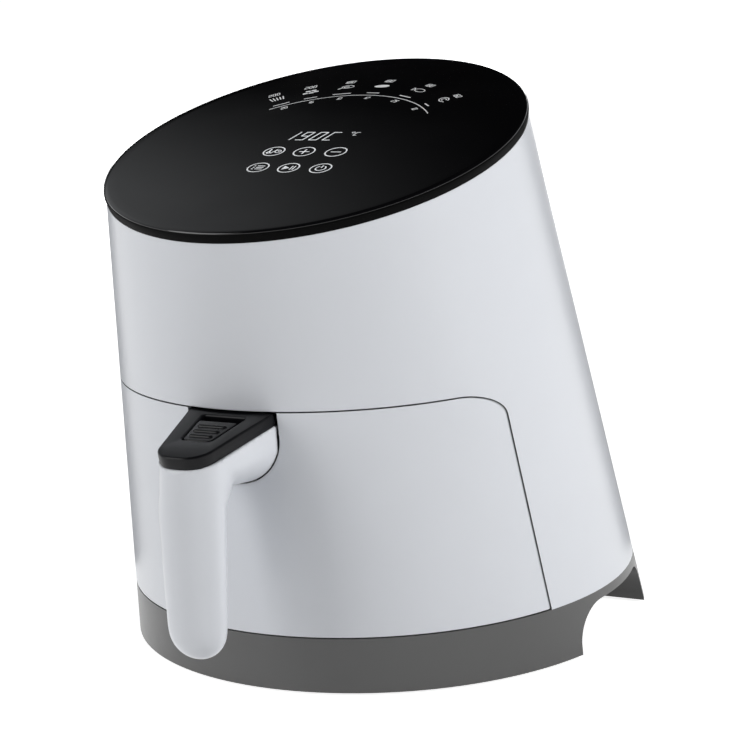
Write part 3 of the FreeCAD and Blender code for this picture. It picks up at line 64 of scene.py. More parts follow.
def add(tree, kind, **feeds):
    """A node fed with sockets or constants; underscores stand for spaces in a socket's name."""
    node = tree.nodes.new(kind)
    for name, value in feeds.items():
        feed(tree, node.inputs[name.replace("_", " ")], value)
    return node


def sum_up(tree, operation, *values):
    """A Math node fed with sockets or plain numbers; gives its output socket."""
    node = tree.nodes.new("ShaderNodeMath")
    node.operation = operation
    for socket, value in zip(node.inputs, values):
        feed(tree, socket, value)
    return node.outputs["Value"]


def shaded(tree, colour, tone):
    """A colour times a tone; gives its output socket."""
    node = tree.nodes.new("ShaderNodeVectorMath")
    node.operation = "SCALE"
    feed(tree, node.inputs[0], colour)
    feed(tree, node.inputs["Scale"], tone)
    return node.outputs["Vector"]


def effect(name, inputs):
    """A shader group for a surface: the group, its given sockets and the sockets of its result."""
    group = bpy.data.node_groups.new(name, "ShaderNodeTree")
    for label, kind, start in inputs:
        socket = group.interface.new_socket(label, in_out="INPUT", socket_type="NodeSocket" + kind)
        socket.default_value = start
    for label, kind in SURFACE.items():
        group.interface.new_socket(label, in_out="OUTPUT", socket_type="NodeSocket" + kind)
    return group, group.nodes.new("NodeGroupInput").outputs, group.nodes.new("NodeGroupOutput").inputs


def put_out(group, result, colour, roughness, height, depth, reach):
    """End an effect with its colour, its roughness and a bump from a height."""
    bump = add(group, "ShaderNodeBump", Height=height, Strength=depth, Distance=reach)
    for label, value in zip(SURFACE, (colour, roughness, bump.outputs["Normal"])):
        feed(group, result[label], value)
    return group


def moulded_grain():
    """Moulded plastic: fine eroded grain, a slow drift of tone and of gloss."""
    group, given, result = effect(
        "moulded_grain",
        (
            ("Colour", "Color", (0.5, 0.5, 0.5, 1.0)),
            ("Tone", "Float", 0.03),
            ("Grain", "Float", 1500.0),
            ("Depth", "Float", 0.1),
            ("Roughness", "Float", 0.4),
            ("Gloss", "Float", 0.06),
        ),
    )
    place = add(group, "ShaderNodeTexCoord").outputs["Object"]
    drift = add(group, "ShaderNodeTexNoise", Vector=place, Scale=18.0, Detail=3.0, Roughness=0.55)
    grain = add(group, "ShaderNodeTexNoise", Vector=place, Detail=2.0, Roughness=0.6)
    feed(group, grain.inputs["Scale"], given["Grain"])
    centred = add(group, "ShaderNodeMapRange", From_Min=0.25, From_Max=0.75, To_Min=-1.0, To_Max=1.0)
    feed(group, centred.inputs["Value"], drift.outputs["Fac"])
    swing = centred.outputs["Result"]
    colour = shaded(group, given["Colour"], sum_up(group, "MULTIPLY_ADD", swing, given["Tone"], 1.0))
    gloss = sum_up(group, "MULTIPLY_ADD", swing, given["Gloss"], given["Roughness"])
    return put_out(group, result, colour, gloss, grain.outputs["Fac"], given["Depth"], GRAIN_REACH)


def blank(name):
    """A new material: the material, its node tree and its shader."""
    material = bpy.data.materials.new(name)
    material.use_nodes = True
    return material, material.node_tree, material.node_tree.nodes["Principled BSDF"]


def finish(name, group, **values):
    """A material with one effect for its surface; what the effect doesn't take goes to the shader."""
    material, tree, shader = blank(name)
    surface = tree.nodes.new("ShaderNodeGroup")
    surface.node_tree = group
    for label, socket in zip(SURFACE, ("Base Color", "Roughness", "Normal")):
        feed(tree, shader.inputs[socket], surface.outputs[label])
    for label, value in values.items():
        label = label.replace("_", " ")
        taker = surface if label in surface.inputs else shader
        taker.inputs[label].default_value = value
    return material


def dress(material, *names):
    """Give CAD nodes a finish in place of the plain one they came with."""
    for name in names:
        nodes[name].data.materials.clear()
        nodes[name].data.materials.append(material)


GRAIN = moulded_grain()
skirt_finish = finish(
    "grey_skirt_plastic", GRAIN, Colour=SKIRT_GREY, Grain=1800.0, Depth=0.12, Roughness=0.32, Gloss=0.012
)
dress(skirt_finish, "base_skirt")

# Bottom plate: the black tray that closes the base, with a slotted air intake. Moulded,
# grained like the skirt, and held by four screws from below.
underside_finish = finish(
    "black_underside_plastic",
    GRAIN,
    Colour=(0.020, 0.020, 0.021, 1.0),
    Grain=1300.0,
    Depth=0.3,
    Roughness=0.55,
)
dress(underside_finish, "bottom_plate")

# Rubber feet: four soft pads with barbed stems, pressed through holes in the bottom plate.
# Matt black rubber with a dusty bloom.
rubber_finish = finish(
    "black_rubber",
    GRAIN,
    Colour=(0.030, 0.030, 0.030, 1.0),
    Tone=0.18,
    Grain=900.0,
    Depth=0.35,
    Roughness=0.78,
)
dress(rubber_finish, "rubber_feet")

# Base screws: four zinc-plated screws with a cross recess, driven up into the skirt's
# bosses. Cold-headed from wire, so they keep a faint turned streak.
SCREW_HEAD = 0.0030
SCREW_SHANK = 0.0015
HEAD_SIDES = 32
SHANK_SIDES = 20
RECESS_LONG = 0.0034
RECESS_WIDE = 0.0008
RECESS_DEEP = 0.0007
BASE_HEAD_HEIGHT = 0.0010
BASE_HEAD_TURN = 0.4
ZINC = (0.52, 0.52, 0.50, 1.0)
STREAK_REACH = 0.0001
CLOUD_DULLING = 0.35


def drawn_metal():
    """Sheet, bar and wire: long fine streaks from rolling, clouded by handling."""
    group, given, result = effect(
        "drawn_metal",
        (
            ("Colour", "Color", (0.5, 0.5, 0.5, 1.0)),
            ("Cloud", "Float", 0.10),
            ("Streak", "Vector", (60.0, 2400.0, 2400.0)),
            ("Depth", "Float", 0.12),
            ("Roughness", "Float", 0.32),
        ),
    )
    place = add(group, "ShaderNodeTexCoord").outputs["Object"]
    drawn = add(group, "ShaderNodeMapping", Vector=place, Scale=given["Streak"]).outputs["Vector"]
    streaks = add(group, "ShaderNodeTexNoise", Vector=drawn, Scale=1.0, Detail=3.0, Roughness=0.65)
    clouds = add(group, "ShaderNodeTexNoise", Vector=place, Scale=26.0, Detail=4.0, Roughness=0.6)
    streak, cloud = streaks.outputs["Fac"], clouds.outputs["Fac"]
    both = sum_up(group, "SUBTRACT", sum_up(group, "ADD", streak, cloud), 1.0)
    colour = shaded(group, given["Colour"], sum_up(group, "MULTIPLY_ADD", both, given["Cloud"], 1.0))
    centred = sum_up(group, "SUBTRACT", cloud, 0.5)
    dull = sum_up(group, "MULTIPLY_ADD", centred, CLOUD_DULLING, given["Roughness"])
    return put_out(group, result, colour, dull, streak, given["Depth"], STREAK_REACH)


METAL = drawn_metal()
zinc_finish = finish("zinc_plate", METAL, Colour=ZINC, Roughness=0.36, Depth=0.06, Metallic=1.0)


def geometry_tree(name, **sizes):
    """An empty geometry tree with a geometry input, named sizes and a geometry output."""
    tree = bpy.data.node_groups.new(name, "GeometryNodeTree")
    for label, kind in {"Geometry": "Geometry", **sizes}.items():
        tree.interface.new_socket(label.replace("_", " "), in_out="INPUT", socket_type="NodeSocket" + kind)
    tree.interface.new_socket("Geometry", in_out="OUTPUT", socket_type="NodeSocketGeometry")
    return tree, tree.nodes.new("NodeGroupInput").outputs, tree.nodes.new("NodeGroupOutput").inputs


def vector(tree, **axes):
    """A vector put together from sockets or numbers."""
    return add(tree, "ShaderNodeCombineXYZ", **axes).outputs["Vector"]


def moved(tree, geometry, **feeds):
    """Geometry with its place, turn or size changed."""
    return add(tree, "GeometryNodeTransform", Geometry=geometry, **feeds).outputs["Geometry"]


def hand_out(tree, instances, material, result):
    """End a geometry tree: the instances are made real and get their material."""
    real = add(tree, "GeometryNodeRealizeInstances", Geometry=instances.outputs["Instances"])
    coated = add(tree, "GeometryNodeSetMaterial", Geometry=real.outputs["Geometry"], Material=material)
    feed(tree, result["Geometry"], coated.outputs["Geometry"])
    return tree


def screw_tree():
    """Screws with a cross recess, one on each point, heads along the turned Z axis."""
    tree, given, result = geometry_tree(
        "cross_screws",
        Head_Radius="Float",
        Head_Height="Float",
        Shank_Radius="Float",
        Shank_Length="Float",
        Recess_Size="Vector",
        Turn="Vector",
        Material="Material",
    )

    def rod(sides, radius, depth):
        """A cylinder with two of the given sizes."""
        sizes = {"Vertices": sides, "Radius": given[radius], "Depth": given[depth]}
        return add(tree, "GeometryNodeMeshCylinder", **sizes).outputs["Mesh"]

    def joined(operation, *feeds):
        """Meshes joined to each other or cut from each other."""
        node = tree.nodes.new("GeometryNodeMeshBoolean")
        node.operation = operation
        for label, mesh in feeds:
            feed(tree, node.inputs[label], mesh)
        return node.outputs["Mesh"]

    head = rod(HEAD_SIDES, "Head Radius", "Head Height")
    slot = add(tree, "GeometryNodeMeshCube", Size=given["Recess Size"]).outputs["Mesh"]
    crossed = moved(tree, slot, Rotation=(0.0, 0.0, math.pi / 2))
    top = vector(tree, Z=sum_up(tree, "MULTIPLY", given["Head Height"], 0.5))
    cross = moved(tree, joined("UNION", ("Mesh 2", slot), ("Mesh 2", crossed)), Translation=top)
    seated = moved(tree, joined("DIFFERENCE", ("Mesh 1", head), ("Mesh 2", cross)), Translation=top)
    shank = rod(SHANK_SIDES, "Shank Radius", "Shank Length")
    below = vector(tree, Z=sum_up(tree, "MULTIPLY", given["Shank Length"], -0.5))
    screw = tree.nodes.new("GeometryNodeJoinGeometry")
    for half in (seated, moved(tree, shank, Translation=below)):
        feed(tree, screw.inputs["Geometry"], half)
    turn = add(tree, "FunctionNodeEulerToRotation", Euler=given["Turn"])
    placed = add(
        tree,
        "GeometryNodeInstanceOnPoints",
        Points=given["Geometry"],
        Instance=screw.outputs["Geometry"],
        Rotation=turn.outputs["Rotation"],
    )
    return hand_out(tree, placed, given["Material"], result)


def linked(name, data):
    """A new object of the scene with the data given."""
    piece = bpy.data.objects.new(name, data)
    bpy.context.collection.objects.link(piece)
    return piece


def plain(piece):
    """The piece's mesh as its modifiers leave it."""
    evaluated = piece.evaluated_get(bpy.context.evaluated_depsgraph_get())
    return bpy.data.meshes.new_from_object(evaluated)


def grown(name, points, tree, values):
    """Run a geometry tree on some points and keep the result as a plain mesh."""
    seed = bpy.data.meshes.new(name)
    seed.from_pydata(points, [], [])
    piece = linked(name, seed)
    modifier = piece.modifiers.new(name, "NODES")
    modifier.node_group = tree
    for item in tree.interface.items_tree:
        if item.in_out == "INPUT" and item.name in values:
            modifier[item.identifier] = values[item.name]
    mesh = plain(piece)
    piece.modifiers.clear()
    piece.data = mesh
    return piece


SCREWS = screw_tree()
screw_sizes = {
    "Head Radius": SCREW_HEAD,
    "Shank Radius": SCREW_SHANK,
    "Recess Size": (RECESS_LONG, RECESS_WIDE, 2.0 * RECESS_DEEP),
    "Material": zinc_finish,
}
low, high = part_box("base_screws")
boss_places = [
    (x, y, low[2] + BASE_HEAD_HEIGHT)
    for x in (low[0] + SCREW_HEAD, high[0] - SCREW_HEAD)
    for y in (low[1] + SCREW_HEAD, high[1] - SCREW_HEAD)
]
base_fasteners = grown(
    "base_cross_screws",
    boss_places,
    SCREWS,
    {
        **screw_sizes,
        "Head Height": BASE_HEAD_HEIGHT,
        "Shank Length": high[2] - low[2] - BASE_HEAD_HEIGHT,
        "Turn": (math.pi, 0.0, BASE_HEAD_TURN),
    },
)
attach(base_fasteners, "housing")
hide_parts("base_screws")

# Drawer deck: the pressed sheet floor of the drawer bay with two raised rails, laid on the
# skirt's ledge. Plain rolled steel.
ROLLED_STEEL = (0.55, 0.55, 0.55, 1.0)
sheet_finish = finish("rolled_sheet_steel", METAL, Colour=ROLLED_STEEL, Roughness=0.34, Metallic=1.0)
dress(sheet_finish, "drawer_deck")

# Outer shell: the leaning white body, one moulded wall with an opening for the drawer and one for the grille.
# Satin plastic, cool white, with the faintest grain; an occlusion node paints shade into the base colour in
# narrow seams, gaps and crevices.
CREVICE_SHADE_REACH = 0.0025
COOL_WHITE = (0.745, 0.765, 0.805, 1.0)
white_finish = finish(
    "cool_white_plastic",
    GRAIN,
    Colour=COOL_WHITE,
    Tone=0.008,
    Grain=1400.0,
    Depth=0.025,
    Roughness=0.29,
    Gloss=0.012,
)
# Painted shade: ambient occlusion darkens the base colour where seams, gaps and crevices close in, on the
# shell, the drawer front and the handle alike.
tree = white_finish.node_tree
shader = tree.nodes["Principled BSDF"]
moulded = shader.inputs["Base Color"].links[0].from_socket
painted_crevice_shade = add(tree, "ShaderNodeAmbientOcclusion", Color=moulded, Distance=CREVICE_SHADE_REACH)
feed(tree, shader.inputs["Base Color"], painted_crevice_shade.outputs["Color"])
dress(white_finish, "outer_shell")

# Rear grille: the louvred black insert over the exhaust, clipped in from outside. Moulded
# in heat-resistant plastic that stays matt.
grille_finish = finish(
    "black_grille_plastic", GRAIN, Colour=(0.018, 0.018, 0.019, 1.0), Grain=1500.0, Depth=0.2, Roughness=0.5
)
dress(grille_finish, "rear_grille")

# Cord gland and its nut: the bushed inlet for the mains cord, passed through the back wall
# and drawn tight from inside. Tough black plastic, slightly glossier than the grille.
gland_finish = finish(
    "black_gland_plastic", GRAIN, Colour=(0.022, 0.022, 0.023, 1.0), Grain=1900.0, Depth=0.08, Roughness=0.38
)
dress(gland_finish, "cord_gland", "gland_nut")

# Chamber liner: the round drum that the hot air turns in. Drawn from aluminised sheet, so
# it has streaks round the wall and a dull bloom from heat.
liner_finish = finish(
    "aluminised_liner",
    METAL,
    Colour=(0.50, 0.495, 0.48, 1.0),
    Cloud=0.22,
    Streak=(500.0, 500.0, 60.0),
    Roughness=0.40,
    Metallic=1.0,
)
dress(liner_finish, "chamber_liner")

# Exhaust duct: a short channel from the drum to the grille, folded in black heat-proof
# board and held between the two.
duct_finish = finish(
    "black_duct_board",
    GRAIN,
    Colour=(0.028, 0.027, 0.026, 1.0),
    Tone=0.12,
    Grain=700.0,
    Depth=0.35,
    Roughness=0.65,
)
dress(duct_finish, "exhaust_duct")

# Heating element and its wire guard: a coiled sheathed tube under the drum's roof, and the
# ring-and-spoke guard below it. Both take straw and blue tints from the heat.
DULL_GREY = (0.30, 0.29, 0.28, 1.0)
STRAW = (0.33, 0.25, 0.15, 1.0)
BLUE = (0.20, 0.19, 0.24, 1.0)
PATCH_DULLING = 0.4
MARK_DEPTH = 0.25
MARK_REACH = 0.0001


def heat_tint():
    """Heated steel: patches of straw and blue over a dull grey."""
    group, given, result = effect("heat_tint", (("Patch", "Float", 45.0), ("Roughness", "Float", 0.4)))
    place = add(group, "ShaderNodeTexCoord").outputs["Object"]
    patches = add(group, "ShaderNodeTexNoise", Vector=place, Detail=4.0, Roughness=0.6)
    feed(group, patches.inputs["Scale"], given["Patch"])
    patch = patches.outputs["Fac"]
    marks = add(group, "ShaderNodeTexNoise", Vector=place, Scale=900.0, Detail=2.0)
    ramp = add(group, "ShaderNodeValToRGB", Fac=patch)
    stops = ramp.color_ramp.elements
    stops[0].position, stops[0].color = 0.36, DULL_GREY
    stops[1].position, stops[1].color = 0.66, BLUE
    stops.new(0.5).color = STRAW
    centred = sum_up(group, "SUBTRACT", patch, 0.5)
    dull = sum_up(group, "MULTIPLY_ADD", centred, PATCH_DULLING, given["Roughness"])
    return put_out(group, result, ramp.outputs["Color"], dull, marks.outputs["Fac"], MARK_DEPTH, MARK_REACH)


TINT = heat_tint()
heater_finish = finish("heat_tinted_tube", TINT, Patch=45.0, Roughness=0.42, Metallic=1.0)
guard_finish = finish("heat_tinted_wire", TINT, Patch=70.0, Roughness=0.34, Metallic=1.0)
dress(heater_finish, "heating_element")
dress(guard_finish, "heater_guard", "heater_hangers")

# Circulation fan, motor shaft and nut: a pressed aluminium wheel on the motor's steel
# shaft, which drives the hot air down past the heater. A nut holds it from below.
fan_finish = finish(
    "pressed_aluminium",
    METAL,
    Colour=(0.66, 0.66, 0.67, 1.0),
    Streak=(900.0, 900.0, 300.0),
    Depth=0.08,
    Roughness=0.3,
    Metallic=1.0,
)
shaft_finish = finish(
    "ground_shaft_steel",
    METAL,
    Colour=(0.60, 0.60, 0.60, 1.0),
    Streak=(300.0, 300.0, 4000.0),
    Roughness=0.22,
    Metallic=1.0,
)
dress(fan_finish, "circulation_fan")
dress(shaft_finish, "motor_shaft", "fan_nut")

# Cooling fan: the moulded wheel on the shaft's upper end that blows air past the motor and
# the boards. Black plastic, glass-filled and dull.
wheel_finish = finish(
    "black_fan_plastic", GRAIN, Colour=(0.035, 0.035, 0.038, 1.0), Grain=1100.0, Depth=0.2, Roughness=0.5
)
dress(wheel_finish, "cooling_fan")

# Motor, its bracket and the thermal cut-out: a pressed steel can on a stand over the drum's
# roof, with the safety cut-out screwed to the roof beside it.
can_finish = finish(
    "pressed_motor_can", METAL, Colour=(0.44, 0.44, 0.45, 1.0), Cloud=0.16, Roughness=0.36, Metallic=1.0
)
dress(can_finish, "fan_motor", "thermal_cutout")
dress(sheet_finish, "motor_bracket")

# Power board, control board and their parts: green fibre boards with soldered blocks. The
# mask is thin over the copper, so the tracks show as paler lines.
MASK_GREEN = (0.020, 0.110, 0.045, 1.0)
TRACK_GREEN = (0.045, 0.190, 0.080, 1.0)
board_finish, tree, mask = blank("solder_mask_green")
place = add(tree, "ShaderNodeTexCoord").outputs["Object"]
tracks = add(
    tree,
    "ShaderNodeTexBrick",
    Vector=place,
    Scale=160.0,
    Mortar_Size=0.035,
    Color1=MASK_GREEN,
    Color2=MASK_GREEN,
    Mortar=TRACK_GREEN,
)
cloud = add(tree, "ShaderNodeTexNoise", Vector=place, Scale=300.0, Detail=2.0)
sheen = add(tree, "ShaderNodeMapRange", Value=cloud.outputs["Fac"], To_Min=0.28, To_Max=0.46)
feed(tree, mask.inputs["Base Color"], tracks.outputs["Color"])
feed(tree, mask.inputs["Roughness"], sheen.outputs["Result"])
case_finish = finish(
    "component_case", GRAIN, Colour=(0.036, 0.036, 0.042, 1.0), Grain=1700.0, Depth=0.1, Roughness=0.44
)
dress(board_finish, "power_board", "control_board")
dress(case_finish, "power_relays", "display_module", "drawer_sensor")
dress(fan_finish, "heat_sink")
foam_finish = finish(
    "conductive_foam",
    GRAIN,
    Colour=(0.10, 0.10, 0.11, 1.0),
    Tone=0.15,
    Grain=500.0,
    Depth=0.6,
    Roughness=0.85,
)
dress(foam_finish, "touch_pads")

# Lid: the black carrier that closes the slanted top and shows as a dark band under the
# glass. Moulded, clipped into the shell's flange; it stays matt so that the band reads black.
lid_finish = finish(
    "black_lid_plastic",
    GRAIN,
    Colour=(0.003, 0.003, 0.003, 1.0),
    Grain=1600.0,
    Depth=0.06,
    Roughness=0.5,
    Specular_IOR_Level=0.03,
)
dress(lid_finish, "top_lid")

# Panel frame: the lid's upturned lip round the glass, the upper half of the dark band. It
# is moulded with the lid, so it has the same matt black.
BASE_RADIUS = 0.1400
CROWN_HALF_WIDTH = 0.1022
CROWN_HALF_DEPTH = 0.1140
CROWN_RISE = 0.3100
CROWN_LEAN = 0.0583
BASE_BACK = 0.0327
FOOT_LIFT = 0.0015
TOP_RISE = 0.2754
TOP_TILT = math.radians(15.05)
OUTLINE_COUNT = 240
CREASE = math.radians(50.0)
LIP_EDGE = (
    (-0.00250, 0.00010),
    (-0.00020, 0.00010),
    (0.00050, 0.00150),
    (0.00095, 0.00300),
    (0.00110, 0.00400),
    (0.00105, 0.00460),
    (0.00080, 0.00485),
    (-0.00250, 0.00485),
)


def on_top(across, along, lift):
    """A point of the slanted top: sideways, up the slope and above the plane."""
    y = along * math.cos(TOP_TILT) - lift * math.sin(TOP_TILT) + BASE_BACK
    z = along * math.sin(TOP_TILT) + lift * math.cos(TOP_TILT) + TOP_RISE + FOOT_LIFT
    return (across, y, z)


def top_outline(spread, lift):
    """The body's outline in the slanted top's plane at a lift, moved outwards by spread."""
    slope_sin, slope_cos = math.sin(TOP_TILT), math.cos(TOP_TILT)
    flat = []
    for k in range(OUTLINE_COUNT):
        angle = 2.0 * math.pi * k / OUTLINE_COUNT
        sine = math.sin(angle)
        climb = slope_sin * (CROWN_LEAN + (BASE_RADIUS - CROWN_HALF_DEPTH) * sine) + slope_cos * CROWN_RISE
        share = (lift + slope_sin * BASE_RADIUS * sine + slope_cos * TOP_RISE) / climb
        x = (BASE_RADIUS + (CROWN_HALF_WIDTH - BASE_RADIUS) * share) * math.cos(angle)
        y = (BASE_RADIUS + (CROWN_HALF_DEPTH - BASE_RADIUS) * share) * sine - CROWN_LEAN * share
        z = CROWN_RISE * share - TOP_RISE
        flat.append(Vector((x, y * slope_cos + z * slope_sin)))
    loop = []
    for k, point in enumerate(flat):
        run = flat[(k + 1) % OUTLINE_COUNT] - flat[k - 1]
        loop.append(point + Vector((run.y, -run.x)).normalized() * spread)
    return loop


def shown(name, mesh, material):
    """Link a mesh as a smooth-shaded piece with one material."""
    mesh.materials.clear()
    mesh.materials.append(material)
    mesh.shade_smooth()
    return linked(name, mesh)


def round_the_top(name, profile, filled):
    """A profile of spreads and lifts taken round the top, its first and last ring filled or joined."""
    points, faces = [], []
    for spread, lift in profile:
        points += [on_top(p.x, p.y, lift) for p in top_outline(spread, lift)]
    last = len(profile) - 1
    for ring in range(last if filled else last + 1):
        here, above = ring * OUTLINE_COUNT, (ring + 1) % len(profile) * OUTLINE_COUNT
        for k in range(OUTLINE_COUNT):
            after = (k + 1) % OUTLINE_COUNT
            faces.append((here + k, here + after, above + after, above + k))
    if filled:
        faces.append(tuple(reversed(range(OUTLINE_COUNT))))
        faces.append(tuple(range(last * OUTLINE_COUNT, len(points))))
    mesh = bpy.data.meshes.new(name)
    mesh.from_pydata(points, [], faces)
    return mesh


panel_lip = shown("panel_lip", round_the_top("panel_lip", LIP_EDGE, False), lid_finish)
panel_lip.data.set_sharp_from_angle(angle=CREASE)
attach(panel_lip, "housing")

# Touch glass: the oval panel bonded on the lid. Tempered glass printed black behind, with a
# polished round edge that catches the light; fingers leave a faint haze on it.
GLASS_TOP = 0.0058
GLASS_EDGE = (
    (-0.00300, 0.00460),
    (0.00075, 0.00460),
    (0.00088, 0.00472),
    (0.00066, 0.00525),
    (0.00042, 0.00552),
    (-0.00010, 0.00568),
    (-0.00080, 0.00577),
    (-0.00160, GLASS_TOP),
    (-0.00600, GLASS_TOP),
)
glass_finish = finish(
    "back_printed_glass",
    GRAIN,
    Colour=(0.0035, 0.0035, 0.0040, 1.0),
    Tone=0.10,
    Grain=60.0,
    Depth=0.002,
    Roughness=0.07,
    Gloss=0.035,
    IOR=1.5,
)
touch_panel = shown("touch_panel", round_the_top("touch_panel", GLASS_EDGE, True), glass_finish)
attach(touch_panel, "housing")
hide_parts("touch_glass")

# Print on the glass: lit figures, six ringed touch keys and a dimmer scale of dishes, all
# screen-printed in white. The dishes are plain signs over short bars.
INK_THICK = 0.00003
PRINT_LIFT = GLASS_TOP + INK_THICK
STROKE_OVERLAP = 0.15
MM = 0.001


class Print:
    """Flat strokes and shapes in the panel's plane, in millimetres, gathered into one mesh."""

    def __init__(self):
        self.points, self.faces = [], []

    def shape(self, outline):
        start = len(self.points)
        self.points += [on_top(x * MM, y * MM, PRINT_LIFT) for x, y in outline]
        self.faces.append(tuple(range(start, start + len(outline))))

    def stroke(self, path, width, closed=False):
        path = [Vector(p) for p in path]
        pairs = list(zip(path, path[1:] + path[:1]))
        for here, there in pairs if closed else pairs[:-1]:
            run = (there - here).normalized()
            side = Vector((-run.y, run.x)) * width / 2
            first, last = here - run * width * STROKE_OVERLAP, there + run * width * STROKE_OVERLAP
            self.shape([first - side, last - side, last + side, first + side])

    def arc(self, centre, radius, start, end, width, steps=24):
        turns = [math.radians(start + (end - start) * k / steps) for k in range(steps + 1)]
        inner, outer = radius - width / 2, radius + width / 2
        for here, there in zip(turns, turns[1:]):
            corners = ((inner, here), (outer, here), (outer, there), (inner, there))
            self.shape([(centre[0] + r * math.cos(a), centre[1] + r * math.sin(a)) for r, a in corners])

    def piece(self, name, material):
        mesh = bpy.data.meshes.new(name)
        mesh.from_pydata(self.points, [], self.faces)
        above = Vector((0.0, -math.sin(TOP_TILT), math.cos(TOP_TILT)))
        if mesh.polygons[0].normal.dot(above) < 0:
            mesh.flip_normals()
        return shown(name, mesh, material)


FIGURE_PITCH = 0.78
FIGURE_SLANT = 0.22
BARS = {
    "a": ((0, 1), (1, 1)),
    "b": ((1, 1), (1, 0.5)),
    "c": ((1, 0.5), (1, 0)),
    "d": ((0, 0), (1, 0)),
    "e": ((0, 0), (0, 0.5)),
    "f": ((0, 0.5), (0, 1)),
    "g": ((0, 0.5), (1, 0.5)),
}
FIGURES = {
    "0": "abcdef", "1": "bc", "2": "abged", "5": "afgcd",
    "6": "afgedc", "8": "abcdefg", "9": "abcdfg", "C": "afed",
}


def figures(sheet, text, centre, height, width, turn=0.0, share=0.5):
    """Bar figures in a row, centred, leaning a little and turned about their centre."""
    pitch = height * FIGURE_PITCH
    spin = Matrix.Rotation(turn, 2)
    for number, letter in enumerate(text):
        for bar in FIGURES[letter]:
            line = []
            for x, y in BARS[bar]:
                along = (number - (len(text) - 1) / 2) * pitch + (x - 0.5) * height * share
                rise = (y - 0.5) * height
                line.append(Vector(centre) + spin @ Vector((along + rise * FIGURE_SLANT, rise)))
            sheet.stroke(line, width)


lit = Print()
figures(lit, "190C", (-4.2, -50.5), height=10.2, width=0.85, share=0.42)
lit.arc((17.8, -45.4), 0.8, 0, 360, width=0.45, steps=12)
figures(lit, "C", (20.4, -47.2), height=3.8, width=0.5)
KEY_RING = 5.6
KEY_LINE = 0.75
KEY_COLUMNS = (-15.6, 2.1, 20.4)
REAR_ROW, FRONT_ROW = -71.0, -91.8
FRONT_SHIFT = 2.0
heat_key, more_key, less_key = ((x, REAR_ROW) for x in KEY_COLUMNS)
list_key, start_key, power_key = ((x + FRONT_SHIFT, FRONT_ROW) for x in KEY_COLUMNS)
for rear_key, front_key in ((heat_key, list_key), (more_key, start_key), (less_key, power_key)):
    lit.arc(rear_key, KEY_RING, 0, 360, KEY_LINE, steps=40)
    lit.arc(front_key, KEY_RING, 0, 360, KEY_LINE, steps=40)


def on_key(key, *path):
    """Points given from the middle of a key."""
    return [(key[0] + x, key[1] + y) for x, y in path]


lit.stroke(on_key(heat_key, (-2.6, -0.6), (-2.6, 2.6)), width=0.9)
lit.arc(*on_key(heat_key, (-2.6, -1.6)), 0.9, 0, 360, width=0.9, steps=12)
lit.stroke(on_key(heat_key, (-0.9, -2.8), (1.0, 2.8)), width=0.5)
lit.arc(*on_key(heat_key, (2.4, 0.0)), 1.7, 0, 360, width=0.55, steps=18)
lit.stroke(on_key(heat_key, (2.4, 1.0), (2.4, 0.0), (3.2, 0.0)), width=0.45)
lit.stroke(on_key(more_key, (-2.8, 0.0), (2.8, 0.0)), width=0.8)
lit.stroke(on_key(more_key, (0.0, -2.8), (0.0, 2.8)), width=0.8)
lit.stroke(on_key(less_key, (-2.8, 0.0), (2.8, 0.0)), width=0.8)
for row in (-1.9, 0.0, 1.9):
    lit.stroke(on_key(list_key, (-3.0, row), (-2.2, row)), width=0.8)
    lit.stroke(on_key(list_key, (-1.0, row), (3.0, row)), width=0.8)
lit.shape(on_key(start_key, (-3.2, -2.4), (0.4, 0.0), (-3.2, 2.4)))
for bar_x in (1.5, 3.0):
    lit.stroke(on_key(start_key, (bar_x, -2.2), (bar_x, 2.2)), width=0.7)
lit.arc(power_key, 2.7, 120, 420, width=0.7, steps=30)
lit.stroke(on_key(power_key, (0.0, 0.6), (0.0, 3.4)), width=0.7)

SCALE_CENTRE = (-3.0, -56.0)
SCALE_RADIUS = 62.8
SCALE_LINE = 0.55
DISH_RADIUS = 76.0
HEAT_RADIUS = 83.6
BAR_RADIUS = 66.2
BAR_WIDTH = 0.8
TIME_RADIUS = 59.0
DISHES = (
    (131.0, "200", "20", 9.0),
    (117.0, "200", "16", 7.0),
    (102.0, "180", "10", 10.0),
    (86.0, "180", "12", 7.5),
    (66.5, "180", "25", 8.5),
    (47.5, "160", "10", 5.0),
)
dim = Print()
dim.arc(SCALE_CENTRE, SCALE_RADIUS, 36, 138, SCALE_LINE, 60)


def at_scale(turn, radius, offset=(0.0, 0.0)):
    """A point of the dish scale, with an offset that turns with it."""
    angle = math.radians(turn)
    cosine, sine = math.cos(angle), math.sin(angle)
    x = SCALE_CENTRE[0] + radius * cosine + offset[0] * sine + offset[1] * cosine
    y = SCALE_CENTRE[1] + radius * sine - offset[0] * cosine + offset[1] * sine
    return (x, y)


